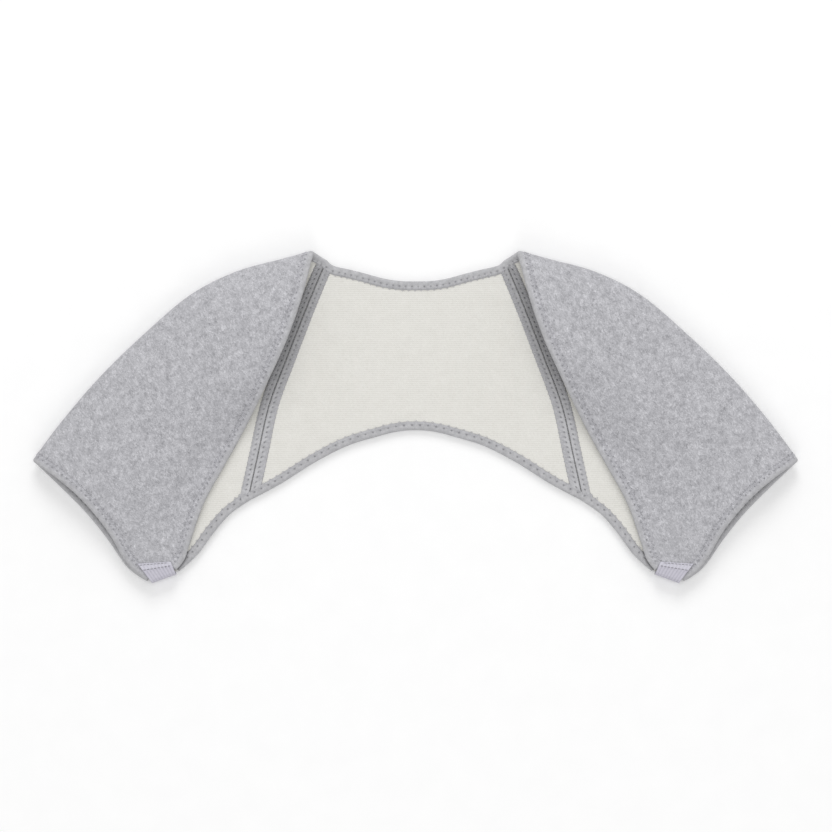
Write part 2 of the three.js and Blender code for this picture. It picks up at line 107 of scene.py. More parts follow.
# Sleeve heights over its length (along: 0 at the inner edge, 1 at the cuff)
LOFT = table("along fold crown",
    (0.0, 12.0, 31.0), (0.5, 11.0, 23.0), (1.0, 10.5, 20.0))
CROWN_SHARE = 0.28
UNDERARM_FRONT = 11.9
REST_INNER = 0.45
REST_SPREAD = 0.6
REST_LOW = 10.0
REST_RISE = {"girth": (4.62, 4.84), "along": (0.15, 0.5)}
UNDERARM_BACK = 1.45
UNDERARM_LIFT_START = 0.95
UNDERARM_LIFT_FULL = 0.45
RIPPLE = 0.55
RIPPLE_FROM, RIPPLE_TO = (3.1, 3.6), (4.6, 4.9)
RIPPLE_SEED, RIPPLE_WAVES = 11, (45, 120)

# Lines of the lay-out seen from above (out: from the middle to one side, up: towards the neck)
NECK = table("out up",
    (0, 113.1), (13.1, 113.4), (27, 115.5), (41, 119.3), (55.5, 123.0), (69.9, 126.4), (75.8, 131.05))
HEM_BACK = table("out up",
    (0, -10.3), (8, -10.6), (18, -12.0), (30, -15.0), (58, -23.6), (86, -37.8), (115, -56.0), (141.9, -70.4))
SEAM = table("out up",
    (141.9, -70.4), (133.8, -34), (123.8, 10.2), (108.8, 50.4), (90.8, 96), (75.8, 131.05))
HEM_SLEEVE = table("out up",
    (141.9, -70.4), (158, -82), (172, -97.8), (185.6, -116.0), (200.8, -130.1))
FOLD = table("out up",
    (87.9, 140.2), (114.4, 132.9), (152, 122.5), (190.3, 103.0), (228.5, 70.8), (266.3, 34.2), (298, -2.5),
    (323.4, -36.4))
FRONT_EDGE = table("out up",
    (87.9, 140.2), (97.5, 101), (110.5, 64), (126.5, 28), (143.2, -6), (162.8, -41), (180.8, -74),
    (192.2, -107), (196.8, -120.6), (203.6, -129.2))
CUFF_FRONT = table("out up",
    (323.4, -36.4), (299.5, -53.4), (278.4, -72.5), (259.2, -96.6), (245.4, -120.4), (234.6, -132.4),
    (226.6, -137.6))
CUFF_BACK = table("out up",
    (323.4, -36.4), (300.4, -58.1), (279, -79.6), (261, -101.6), (244.4, -125.1), (233.4, -134.4),
    (226.6, -138.4))

# Shares of the back half of a sleeve taken by the roll and by the seam
BACK_ROLL = 0.07
BACK_SEAM_END = 0.7
CUFF_ROLL = 0.104
CUFF_SEAM_END = 0.62

# Elastic over the lower end of each sleeve
ELASTIC_CORNERS = {
    "fold_at_cuff": (222.8, -141.0), "fold_at_hem": (202.4, -133.6),
    "top_at_cuff": (235.1, -124.5), "top_at_front": (207.2, -122.8),
}
ELASTIC_THICK = 1.0
ELASTIC_CLEARANCE = 0.45
ELASTIC_BEND = 3.0
ELASTIC_RIBS = 9
RIB_HEIGHT = 0.12
RIBS_RISE = (0.5, 2.0)
ELASTIC_TRIM = 0.05


# Lines and faces of the cloth

def run_along(points):
    """Length from the first point to each of them."""
    return np.concatenate([[0], np.cumsum(np.linalg.norm(np.diff(points, axis=0), axis=1))])


def smooth_line(rows, parts=60):
    """A curve through the rows, as a function of the share of its length."""
    knots = np.stack([column(rows, "out"), column(rows, "up")], -1)
    spans = len(knots) - 1
    place = np.linspace(0, spans, spans * parts + 1)
    first = np.minimum(place.astype(int), spans - 1)
    t = (place - first)[:, None]
    p0, p1 = knots[np.maximum(first - 1, 0)], knots[first]
    p2, p3 = knots[first + 1], knots[np.minimum(first + 2, spans)]
    v0, v1 = (p2 - p0) / 2, (p3 - p1) / 2
    points = (2 * p1 - 2 * p2 + v0 + v1) * t**3 + (3 * p2 - 3 * p1 - 2 * v0 - v1) * t**2 + v0 * t + p1
    length = run_along(points)
    shares = length / length[-1]
    return lambda share: np.stack([np.interp(share, shares, points[:, k]) for k in (0, 1)], -1)


def straight_line(start, end):
    return lambda share: start + (end - start) * np.asarray(share, float)[..., None]


neck, hem_back, seam = smooth_line(NECK), smooth_line(HEM_BACK), smooth_line(SEAM)
hem_sleeve, fold, front_edge = smooth_line(HEM_SLEEVE), smooth_line(FOLD), smooth_line(FRONT_EDGE)
cuff_front, cuff_back = smooth_line(CUFF_FRONT), smooth_line(CUFF_BACK)
underarm_front = straight_line(front_edge(1.0), cuff_front(1.0))
underarm_back = straight_line(hem_sleeve(1.0), cuff_back(1.0))


def smooth_step(value, low, high):
    t = np.clip((value - low) / (high - low), 0, 1)
    return t * t * (3 - 2 * t)


def patch(first, second, top, foot, across, down):
    """A plan patch between two side points and the curves at its top and foot."""
    a, d = across[..., None], down[..., None]
    zero, one = np.zeros_like(across), np.ones_like(across)
    ruled = first * (1 - a) + second * a
    between = top(across) * (1 - d) + foot(across) * d
    corners = top(zero) * (1 - a) * (1 - d) + top(one) * a * (1 - d) + foot(zero) * (1 - a) * d + foot(one) * a * d
    return ruled + between - corners


def loft_at(along, key):
    start, middle, end = (row[key] for row in LOFT)
    return start + (end - start) * along + (middle - (start + end) / 2) * 4 * along * (1 - along)


def sleeve_back_plan(along, down):
    roll = np.clip(down / BACK_ROLL, 0, 1)
    on_seam = np.clip((down - BACK_ROLL) / (BACK_SEAM_END - BACK_ROLL), 0, 1)
    on_hem = np.clip((down - BACK_SEAM_END) / (1 - BACK_SEAM_END), 0, 1)
    head, top = seam(1.0), fold(0.0)
    at_roll = top + (head - top) * roll[..., None]
    inner = np.where((down < BACK_ROLL)[..., None], at_roll, seam(1 - on_seam))
    inner = np.where((down > BACK_SEAM_END)[..., None], hem_sleeve(on_hem), inner)
    cuff_share = CUFF_ROLL * roll + (CUFF_SEAM_END - CUFF_ROLL) * on_seam + (1 - CUFF_SEAM_END) * on_hem
    return patch(inner, cuff_back(cuff_share), fold, underarm_back, along, down)


def sleeve_front_plan(along, down):
    return patch(front_edge(down), cuff_front(down), fold, underarm_front, along, down)


def waves(x, y, seed, shortest, longest, count=8):
    """Soft unevenness of lying cloth, about one high."""
    draw = np.random.default_rng(seed)
    total = np.zeros_like(x)
    for _ in range(count):
        turn, phase = draw.uniform(0, 2 * math.pi, 2)
        pull = 2 * math.pi / draw.uniform(shortest, longest)
        total = total + np.sin(pull * (x * math.cos(turn) + y * math.sin(turn)) + phase)
    return total / math.sqrt(count)


def sleeve_face(girth, along, side):
    """Outer face of a sleeve. Girth runs from 0 at the back underarm over 1 at the seam's foot, 2 at its head, 3 at
    the fold and 4 at the crown to 5 at the front underarm."""
    girth, along = np.broadcast_arrays(np.asarray(girth, float), np.asarray(along, float))
    fold_height, crown = loft_at(along, "fold"), loft_at(along, "crown")
    back_down = np.where(girth < 1, 1 - girth * (1 - BACK_SEAM_END),
                         BACK_SEAM_END - (girth - 1) * (BACK_SEAM_END - BACK_ROLL))
    back_turn = np.clip(3 - girth, 0, 1) * math.pi / 2
    front_turn = np.clip(girth - 3, 0, 1) * math.pi / 2
    fall = np.clip(girth - 4, 0, 1)
    down_back = np.where(girth <= 2, back_down, BACK_ROLL * (1 - np.cos(back_turn)))
    down_front = CROWN_SHARE * (1 - np.cos(front_turn)) + (1 - CROWN_SHARE) * fall
    on_back = girth <= 3
    plan = np.where(on_back[..., None], sleeve_back_plan(along, np.clip(down_back, 0, 1)),
                    sleeve_front_plan(along, np.clip(down_front, 0, 1)))
    height = np.where(girth <= 2, UNDERARM_BACK * (1 - smooth_step(girth, UNDERARM_LIFT_FULL, UNDERARM_LIFT_START)),
                      fold_height * (1 - np.sin(back_turn)))
    settled = np.minimum(1, fall / (REST_INNER + (1 - REST_INNER) * smooth_step(along, 0, REST_SPREAD)))
    lifted = np.maximum(smooth_step(girth, *REST_RISE["girth"]), smooth_step(along, *REST_RISE["along"]))
    low = REST_LOW + (UNDERARM_FRONT - REST_LOW) * lifted
    rise = np.where(girth <= 4, fold_height + (crown - fold_height) * np.sin(front_turn),
                    low + (crown - low) * (1 + np.cos(math.pi * settled)) / 2)
    height = np.where(on_back, height, rise)
    uneven = smooth_step(girth, *RIPPLE_FROM) * (1 - smooth_step(girth, *RIPPLE_TO))
    height = height + RIPPLE * uneven * waves(plan[..., 0] * side, plan[..., 1], RIPPLE_SEED, *RIPPLE_WAVES)
    return np.concatenate([plan, height[..., None]], -1)


def back_face(across, upward):
    across, upward = np.broadcast_arrays(np.asarray(across, float), np.asarray(upward, float))
    middle_low, middle_high = hem_back(0.0), neck(0.0)
    middle = middle_low + (middle_high - middle_low) * upward[..., None]
    plan = patch(middle, seam(upward), hem_back, neck, across, upward)
    return np.concatenate([plan, np.zeros(plan.shape[:-1] + (1,))], -1)


def unit(vectors):
    return vectors / np.maximum(np.linalg.norm(vectors, axis=-1, keepdims=True), 1e-9)


def sleeve_slopes(girth, along, side, step=1e-3):
    low_g, high_g = np.maximum(girth - step, 0), np.minimum(girth + step, 5)
    low_a, high_a = np.maximum(along - step, 0), np.minimum(along + step, 1)
    by_girth = (sleeve_face(high_g, along, side) - sleeve_face(low_g, along, side)) / (high_g - low_g)[..., None]
    by_along = (sleeve_face(girth, high_a, side) - sleeve_face(girth, low_a, side)) / (high_a - low_a)[..., None]
    return by_girth, by_along


def sleeve_inward(girth, along, side):
    by_girth, by_along = sleeve_slopes(girth, along, side)
    return unit(np.cross(by_along, by_girth))


# Tracks: points and inward directions at each millimetre in from an edge, at even stations along it

def even_values(line, low, high):
    """Values between low and high at which line(values) has even steps."""
    values = np.linspace(low, high, LINE_PARTS)
    length = run_along(line(values))
    count = int(round(length[-1] / STATION_STEP)) + 1
    return np.interp(np.linspace(0, length[-1], count), length, values)


def sleeve_edge(low, high, along, side):
    girth = even_values(lambda values: sleeve_face(values, np.full_like(values, along), side), low, high)
    return {"girth": girth, "along": np.full_like(girth, along)}


def back_edge(upward):
    across = even_values(lambda values: back_face(values, np.full_like(values, upward)), 0, 1)
    return back_face(across, np.full_like(across, upward))


def track_of(on_back, on_sleeve, inner_side, side):
    """A track along an edge that may start on the back panel and goes on over a sleeve, for one half."""
    girth, along = on_sleeve["girth"], on_sleeve["along"]
    sleeve_points = sleeve_face(girth, along, side)
    edge = np.concatenate([on_back[:-1], sleeve_points])
    flat = len(edge) - len(sleeve_points)
    up = np.zeros((flat, 3))
    up[:, 2] = 1
    inward = np.concatenate([up, sleeve_inward(girth, along, side)])
    tangent = unit(np.gradient(edge, axis=0))
    heading = unit(np.cross(inward, tangent)) * inner_side
    points, inwards = [edge], [inward]
    walk_g, walk_a, course = girth.copy(), along.copy(), heading[flat:].copy()
    for reach in range(1, TRACK_REACH + 1):
        by_girth, by_along = sleeve_slopes(walk_g, walk_a, side)
        normal = unit(np.cross(by_along, by_girth))
        course = unit(course - normal * (course * normal).sum(-1, keepdims=True))
        gg, ga, aa, cg, ca = ((p * q).sum(-1) for p, q in (
            (by_girth, by_girth), (by_girth, by_along), (by_along, by_along),
            (course, by_girth), (course, by_along)))
        whole = np.maximum(gg * aa - ga * ga, 1e-9)
        walk_g = np.clip(walk_g + (cg * aa - ca * ga) / whole, 0, 5)
        walk_a = np.clip(walk_a + (ca * gg - cg * ga) / whole, 0, 1)
        points.append(np.concatenate([edge[:flat] + heading[:flat] * reach, sleeve_face(walk_g, walk_a, side)]))
        inwards.append(np.concatenate([up, sleeve_inward(walk_g, walk_a, side)]))
    return {"points": np.stack(points, 1), "inward": np.stack(inwards, 1), "outward": -heading}


def on_side(points, side):
    """Points drawn for the right half, put on the side meant."""
    return points * np.array([side, 1, 1])


def mirrored(track):
    return {key: on_side(value, -1) for key, value in track.items()}


def joined(left, right):
    """The left half reversed and the right half after it, as one track."""
    return {key: np.concatenate([left[key][:0:-1], right[key]]) for key in right}


def with_length(track):
    return {**track, "length": run_along(track["points"][:, 0])}


def on_track(track, run, within, deep):
    """Points at a run along a track, a distance in from its edge and a depth below the outer face."""
    run, within, deep = np.broadcast_arrays(run, within, deep)
    station = np.interp(run, track["length"], np.arange(len(track["length"])))
    first = np.minimum(station.astype(int), len(track["length"]) - 2)
    t = (station - first)[..., None]
    reach = np.clip(within, 0, TRACK_REACH - 1e-6)
    inner = reach.astype(int)
    s = (reach - inner)[..., None]

    def blend(field):
        near = field[first, inner] * (1 - s) + field[first, inner + 1] * s
        far = field[first + 1, inner] * (1 - s) + field[first + 1, inner + 1] * s
        return near * (1 - t) + far * t

    outward = track["outward"][first] * (1 - t) + track["outward"][first + 1] * t
    past = np.maximum(-within, 0)[..., None]
    return blend(track["points"]) + outward * past + unit(blend(track["inward"])) * deep[..., None]


NO_BACK = np.zeros((1, 3))


def half_tracks(side):
    """The neck, hem and cuff tracks of one half, as if it were the right one."""
    neck_line = track_of(back_edge(1.0), sleeve_edge(2, 5, 0, side), -1, side)
    hem_line = track_of(back_edge(0.0), sleeve_edge(1, 0, 0, side), 1, side)
    cuff_line = track_of(NO_BACK, sleeve_edge(0, 5, 1, side), 1, side)
    return neck_line, hem_line, cuff_line


right_neck, right_hem, right_cuff = half_tracks(1)
left_neck, left_hem, left_cuff = half_tracks(-1)
neck_track = with_length(joined(mirrored(left_neck), right_neck))
hem_track = with_length(joined(mirrored(left_hem), right_hem))
cuff_tracks = {1: with_length(right_cuff), -1: with_length(mirrored(left_cuff))}


# Node trees

def node(tree, kind, inputs=(), **settings):
    made = tree.nodes.new(kind)
    for key, value in settings.items():
        setattr(made, key, value)
    for key, value in dict(inputs).items():
        if isinstance(value, bpy.types.NodeSocket):
            tree.links.new(value, made.inputs[key])
        else:
            made.inputs[key].default_value = value
    return made


def math_node(tree, operation, *values, clamp=False):
    return node(tree, "ShaderNodeMath", dict(enumerate(values)), operation=operation, use_clamp=clamp).outputs[0]


def weighted(tree, *terms):
    """The sum of values, each times its share."""
    total = 0.0
    for value, share in terms:
        total = math_node(tree, "MULTIPLY_ADD", value, share, total)
    return total


def noise(tree, place, scale, detail, roughness=0.5, distortion=0.0):
    return node(tree, "ShaderNodeTexNoise", {"Vector": place, "Scale": scale, "Detail": detail,
                                             "Roughness": roughness, "Distortion": distortion}).outputs["Fac"]


def ramp_to(tree, value, low, high, to_low=0.0, to_high=1.0):
    made = node(tree, "ShaderNodeMapRange", {"Value": value, "From Min": low, "From Max": high,
                                             "To Min": to_low, "To Max": to_high}, interpolation_type="SMOOTHSTEP")
    return made.outputs["Result"]


def new_group(name, inputs, outputs):
    """A node group with its inputs' usual values, none for a place, and the names of its outputs."""
    group = bpy.data.node_groups.new(name, "ShaderNodeTree")
    for label, value in inputs.items():
        kind = "NodeSocketVector" if value is None else "NodeSocketFloat"
        socket = group.interface.new_socket(label, in_out="INPUT", socket_type=kind)
        if value is not None:
            socket.default_value = value
    for label in outputs:
        group.interface.new_socket(label, in_out="OUTPUT", socket_type="NodeSocketFloat")
    return group, group.nodes.new("NodeGroupInput").outputs, group.nodes.new("NodeGroupOutput").inputs


def brushed_heather():
    """Mixed pale and dark fibres with a short brushed nap."""
    group, given, out = new_group(
        "brushed_heather", {"Place": None, "Blotches per metre": 150.0, "Fibres per metre": 900.0},
        ("Tone", "Fibre", "Nap"))
    blotch = noise(group, given["Place"], given["Blotches per metre"], detail=4.0, roughness=0.62)
    combed = node(group, "ShaderNodeMapping", {"Vector": given["Place"], "Rotation": (0.0, 0.0, 0.6),
                                               "Scale": (1.0, 1.7, 1.0)}, vector_type="TEXTURE")
    fibre = noise(group, combed.outputs[0], given["Fibres per metre"], detail=3.0, roughness=0.6, distortion=1.2)
    nap = node(group, "ShaderNodeTexVoronoi", {"Vector": given["Place"], "Scale": given["Fibres per metre"]},
               feature="F1").outputs["Distance"]
    group.links.new(blotch, out["Tone"])
    group.links.new(fibre, out["Fibre"])
    group.links.new(weighted(group, (fibre, 1.0), (nap, 0.6), (blotch, 1.0)), out["Nap"])
    return group


def knitted_loops():
    """Courses of small loops across the cloth, in wales along it."""
    group, given, out = new_group(
        "knitted_loops", {"Place": None, "Courses per metre": 620.0, "Wales per metre": 700.0, "Looseness": 0.35},
        ("Course", "Loop", "Patch"))
    drift = noise(group, given["Place"], scale=90.0, detail=2.0)
    split = node(group, "ShaderNodeSeparateXYZ", {"Vector": given["Place"]}).outputs
    wander = math_node(group, "MULTIPLY", drift, math_node(group, "MULTIPLY", given["Looseness"], 12.0))

    def rows_of(axis, rate):
        turn = math_node(group, "MULTIPLY", split[axis], math_node(group, "MULTIPLY", given[rate], 2 * math.pi))
        return math_node(group, "SINE", math_node(group, "ADD", turn, wander))

    course, wale = rows_of("Y", "Courses per metre"), rows_of("X", "Wales per metre")
    group.links.new(ramp_to(group, course, -1.0, 1.0), out["Course"])
    group.links.new(ramp_to(group, math_node(group, "MULTIPLY", course, wale), -1.0, 1.0), out["Loop"])
    group.links.new(drift, out["Patch"])
    return group


def needle_rows():
    """Painted shade in the needle holes where the thread goes through, once a stitch along the row In is measured
    from.
    """
    group, given, out = new_group("needle_rows", {"Run": 0.0, "In": 0.0, "Pitch": 5.2, "Size": 0.9}, ("Prick",))
    share = math_node(group, "FRACT", math_node(group, "ADD", given["Run"], 0.5))
    sideways = math_node(group, "MULTIPLY", math_node(group, "SUBTRACT", share, 0.5), given["Pitch"])
    square = math_node(group, "ADD", math_node(group, "MULTIPLY", sideways, sideways),
                       math_node(group, "MULTIPLY", given["In"], given["In"]))
    far = math_node(group, "DIVIDE", math_node(group, "SQRT", square), given["Size"])
    group.links.new(ramp_to(group, far, 0.35, 1.0, to_low=1.0, to_high=0.0), out["Prick"])
    return group


HEATHER, LOOPS, NEEDLE_ROWS = brushed_heather(), knitted_loops(), needle_rows()


def grey(level, cool=0.0):
    """A near-neutral colour, linear, with a little more blue the cooler it is."""
    return (level * (1 - cool * 0.4), level * (1 - cool * 0.5), level * (1 + cool), 1.0)


def new_material(name, roughness, sheen, sheen_roughness=0.5):
    material = bpy.data.materials.new(name)
    material.use_nodes = True
    tree = material.node_tree
    for key, value in (("Roughness", roughness), ("Sheen Weight", sheen), ("Sheen Roughness", sheen_roughness),
                       ("Specular IOR Level", 0.2)):
        tree.nodes["Principled BSDF"].inputs[key].default_value = value
    return material, tree


def finished(material, colour, height=None, distance=0.0, strength=0.0):
    """The material with its colour and, where it has one, its relief."""
    tree = material.node_tree
    shader = tree.nodes["Principled BSDF"].inputs
    tree.links.new(colour, shader["Base Color"])
    if height is not None:
        relief = node(tree, "ShaderNodeBump", {"Height": height, "Distance": distance, "Strength": strength})
        tree.links.new(relief.outputs[0], shader["Normal"])
    return material


def group_node(tree, group, inputs):
    return node(tree, "ShaderNodeGroup", inputs, node_tree=group).outputs


def object_place(tree):
    return node(tree, "ShaderNodeTexCoord").outputs["Object"]


def heather(tree, blotches, fibres):
    """Brushed heather over a piece, with so many blotches and fibres a metre."""
    return group_node(tree, HEATHER, {"Place": object_place(tree), "Blotches per metre": blotches,
                                      "Fibres per metre": fibres})


def lay_of(tree):
    """The two values of the map that is laid along a tape or strip."""
    lay = node(tree, "ShaderNodeUVMap", uv_map="lay").outputs["UV"]
    split = node(tree, "ShaderNodeSeparateXYZ", {"Vector": lay}).outputs
    return split["X"], split["Y"]


def attribute(tree, name):
    return node(tree, "ShaderNodeAttribute", attribute_name=name).outputs["Fac"]


def colour_steps(tree, value, steps):
    made = node(tree, "ShaderNodeValToRGB", {"Fac": value})
    bars = made.color_ramp.elements
    while len(bars) < len(steps):
        bars.new(0.5)
    for bar, (place, colour) in zip(bars, steps):
        bar.position, bar.color = place, colour
    return made.outputs["Color"]


def blended(tree, colour, mask, other):
    """The colour, giving way to another where the mask is set."""
    mix = node(tree, "ShaderNodeMix", {0: mask, 6: colour, 7: other}, data_type="RGBA", blend_type="MIX")
    return mix.outputs[2]


def heather_colour(tree, wool):
    tone = weighted(tree, (wool["Tone"], 0.36), (wool["Fibre"], 0.64))
    return colour_steps(tree, tone, [(0.25, grey(0.2, 0.05)), (0.5, grey(0.455, 0.035)), (0.75, grey(0.75, 0.03))])


FLEECE_NAP = {"blotches": 170.0, "fibres": 760.0}


def fleece_material():
    material, tree = new_material("heather_fleece", roughness=0.95, sheen=0.18)
    wool = heather(tree, **FLEECE_NAP)
    return finished(material, heather_colour(tree, wool), wool["Nap"], distance=0.0005, strength=0.45)


def lining_material():
    material, tree = new_material("cream_knit", roughness=0.9, sheen=0.12)
    knit = group_node(tree, LOOPS, {"Place": object_place(tree), "Courses per metre": 590.0,
                                    "Wales per metre": 640.0})
    nap = heather(tree, blotches=60.0, fibres=1200.0)
    tone = weighted(tree, (knit["Course"], 0.14), (knit["Patch"], 0.14), (nap["Fibre"], 0.68))
    colour = colour_steps(tree, tone, [(0.2, (0.635, 0.62, 0.575, 1)), (0.5, (0.745, 0.735, 0.695, 1)),
                                       (0.8, (0.845, 0.835, 0.80, 1))])
    height = weighted(tree, (knit["Loop"], 1.0), (nap["Fibre"], 0.5))
    return finished(material, colour, height, distance=0.00025, strength=0.4)


def tape_material(name, pitch, level):
    """Soft knitted tape with its row of needle pricks, painted shade in the needle holes. The UV map gives the run
    in stitches and centimetres in from the row; the attributes "marks" and "woolly" how much the pricks show and
    how brushed the tape is, and a third attribute how much painted shade the tape takes in the crease under the
    front edge and beside the line where the front edge lies over it."""
    material, tree = new_material(name, roughness=0.9, sheen=0.12)
    wool, coarse = heather(tree, blotches=260.0, fibres=900.0), heather(tree, **FLEECE_NAP)
    run, from_row = lay_of(tree)
    within = math_node(tree, "MULTIPLY", from_row, 10.0)
    pricks = group_node(tree, NEEDLE_ROWS, {"Run": run, "In": within, "Pitch": pitch, "Size": 1.25})
    rib = math_node(tree, "SINE", math_node(tree, "MULTIPLY", within, 2 * math.pi / 0.9))
    tone = weighted(tree, (wool["Tone"], 0.6), (wool["Fibre"], 0.4))
    colour = colour_steps(tree, tone, [(0.2, grey(level * 0.66, 0.03)), (0.5, grey(level, 0.02)),
                                       (0.8, grey(level * 1.36, 0.02))])
    marks, woolly, dull = (attribute(tree, key) for key in ("marks", "woolly", "dull"))
    colour = blended(tree, colour, woolly, heather_colour(tree, coarse))
    # Painted shade: greyer in the crease under the front edge and beside the line where the front edge lies over a
    # tape
    colour = blended(tree, colour, dull, grey(level * 0.4, 0.02))
    shown = math_node(tree, "MULTIPLY", marks, ramp_to(tree, coarse["Tone"], 0.3, 0.6, to_low=0.45, to_high=1.1))
    # Painted shade in the needle holes
    colour = blended(tree, colour, math_node(tree, "MULTIPLY", pricks["Prick"], shown), grey(0.08, 0.06))
    height = weighted(tree, (wool["Fibre"], 1.0), (rib, 0.25))
    return finished(material, colour, height, distance=0.0003, strength=0.4)


# Elastic, in centimetres from its top end: the step of the weft and where the pale sewn end stops
PICK_STEP = 0.11
PALE_END = (0.46, 0.56)


def elastic_material():
    material, tree = new_material("ribbed_elastic", roughness=0.7, sheen=0.05, sheen_roughness=0.4)
    yarn = heather(tree, blotches=420.0, fibres=1500.0)
    across, run = lay_of(tree)
    rib = math_node(tree, "COSINE", math_node(tree, "MULTIPLY", across, 2 * math.pi))
    pick = math_node(tree, "SINE", math_node(tree, "MULTIPLY", run, 2 * math.pi / PICK_STEP))
    weave = math_node(tree, "MULTIPLY", rib, pick)
    band = ramp_to(tree, run, *PALE_END, to_low=0.4, to_high=0.0)
    tone = weighted(tree, (ramp_to(tree, rib, -1.0, 0.6), 0.3), (yarn["Tone"], 0.6), (band, 1.0))
    colour = colour_steps(tree, tone, [(0.1, (0.43, 0.42, 0.48, 1)), (0.55, (0.55, 0.535, 0.605, 1)),
                                       (0.95, (0.63, 0.62, 0.69, 1))])
    height = weighted(tree, (weave, 1.0), (yarn["Fibre"], 0.8))
    return finished(material, colour, height, distance=0.00025, strength=0.4)


def thread_material(name, level, cool):
    """Twisted thread, with painted shade where it dips into the cloth."""
    material, tree = new_material(name, roughness=0.6, sheen=0.1, sheen_roughness=0.4)
    ply, dip = heather(tree, blotches=600.0, fibres=3200.0), attribute(tree, "dip")
    colour = colour_steps(tree, ply["Fibre"], [(0.2, grey(level * 0.75, cool)), (0.8, grey(level * 1.2, cool))])
    sunk = ramp_to(tree, dip, 0.25, 1.0, to_low=0.0, to_high=0.85)
    colour = blended(tree, colour, sunk, grey(level * 0.16, cool))
    return finished(material, colour, ply["Fibre"], distance=0.0001, strength=0.5)


FLEECE_CLOTH, LINING_CLOTH, ELASTIC_CLOTH = fleece_material(), lining_material(), elastic_material()
EDGE_TAPE_LEVEL, SEAM_TAPE_LEVEL = 0.455, 0.49
EDGE_TAPE = tape_material("edge_tape", STITCH_PITCH, EDGE_TAPE_LEVEL)
HEM_TAPE = tape_material("hem_tape", HEM_PITCH, EDGE_TAPE_LEVEL)
SEAM_TAPE = tape_material("seam_tape", SEAM_PITCH, SEAM_TAPE_LEVEL)
GREY_THREAD = thread_material("grey_thread", level=0.54, cool=0.04)
DARK_THREAD = thread_material("dark_thread", level=0.19, cool=0.05)


# Pieces

def put(name, data):
    """The data as an object in the scene."""
    made = bpy.data.objects.new(name, data)
    bpy.context.collection.objects.link(made)
    return made


def make_piece(name, points, faces, material, lay=None, fields=(), ends=()):
    """A closed mesh facing outwards, from points in millimetres, four-cornered faces and end faces."""
    faces = np.asarray(faces)
    a, b, c, d = (points[faces[:, k]] for k in range(4))
    volume = (np.cross(a, b) * c).sum() + (np.cross(a, c) * d).sum()
    turn = -1 if volume < 0 else 1
    every_face = faces[:, ::turn].tolist() + [end[::turn] for end in ends]
    mesh = bpy.data.meshes.new(name)
    mesh.from_pydata((points * MM).tolist(), [], every_face)
    mesh.materials.append(material)
    mesh.shade_smooth()
    if lay is not None:
        layer = mesh.uv_layers.new(name="lay")
        corner = np.empty(len(mesh.loops), dtype=np.int32)
        mesh.loops.foreach_get("vertex_index", corner)
        layer.data.foreach_set("uv", np.asarray(lay, dtype=np.float32)[corner].ravel())
    for key, values in dict(fields).items():
        values = np.asarray(values, dtype=np.float32).ravel()
        mesh.attributes.new(key, "FLOAT", "POINT").data.foreach_set("value", values)
    mesh.validate()
    return put(name, mesh)


def wall_faces(rows, columns):
    """Faces of a closed wall over a grid: outer face, inner face and rim."""
    count = rows * columns
    grid = np.arange(count).reshape(rows, columns)
    a, b, c, d = grid[:-1, :-1], grid[:-1, 1:], grid[1:, 1:], grid[1:, :-1]
    outer = np.stack([a, b, c, d], -1).reshape(-1, 4)
    inner = np.stack([a, d, c, b], -1).reshape(-1, 4) + count
    rim = np.concatenate([grid[0], grid[1:, -1], grid[-1, -2::-1], grid[-2:0:-1, 0]])
    onward = np.roll(rim, -1)
    band = np.stack([onward, rim, rim + count, onward + count], -1)
    return np.concatenate([outer, inner, band])


def tube_faces(stations, ring):
    """Faces of the side of a tube, ring by ring."""
    grid = np.arange(stations * ring).reshape(stations, ring)
    onward = np.roll(grid, -1, axis=1)
    return np.stack([grid[:-1], onward[:-1], onward[1:], grid[1:]], -1).reshape(-1, 4)


def wall_piece(name, outer, inner, material, side=1, lay=None):
    points = on_side(np.concatenate([outer.reshape(-1, 3), inner.reshape(-1, 3)]), side)
    return make_piece(name, points, wall_faces(*outer.shape[:2]), material, lay)


def distance_to(points, line):
    tree = KDTree(len(line))
    for n, place in enumerate(line):
        tree.insert(place, n)
    tree.balance()
    return np.array([tree.find(place)[2] for place in points.reshape(-1, 3)]).reshape(points.shape[:-1])


def in_plan(points):
    return points * np.array([1, 1, 0])


# Fleece beside an edge tape: where it rises and swells, from the tape's reach, and where it settles, from the edge
FLEECE_RISE, FLEECE_SWELL, FLEECE_SETTLE = (-0.9, 0.3), (0, 4), (12, 26)
GROOVE_DEPTH, GROOVE_REACH = 0.9, 2.5


def edge_depth(distance, puff):
    """How deep the fleece lies near a taped edge: pressed under the tape, plump beside it."""
    reach = TAPE_LEGS["outer"]["reach"]
    beside = smooth_step(distance - reach, *FLEECE_RISE)
    plump = puff * smooth_step(distance - reach, *FLEECE_SWELL) * (1 - smooth_step(distance, *FLEECE_SETTLE))
    return TAPE_RECESS * (1 - beside) - plump


def seam_groove(distance):
    return GROOVE_DEPTH * np.clip(1 - distance / GROOVE_REACH, 0, 1) ** 2


def spans(*runs):
    """Values over runs of (from, to, count), each end once."""
    return np.concatenate([np.linspace(low, high, count, endpoint=False) for low, high, count in runs]
                          + [[runs[-1][1]]])


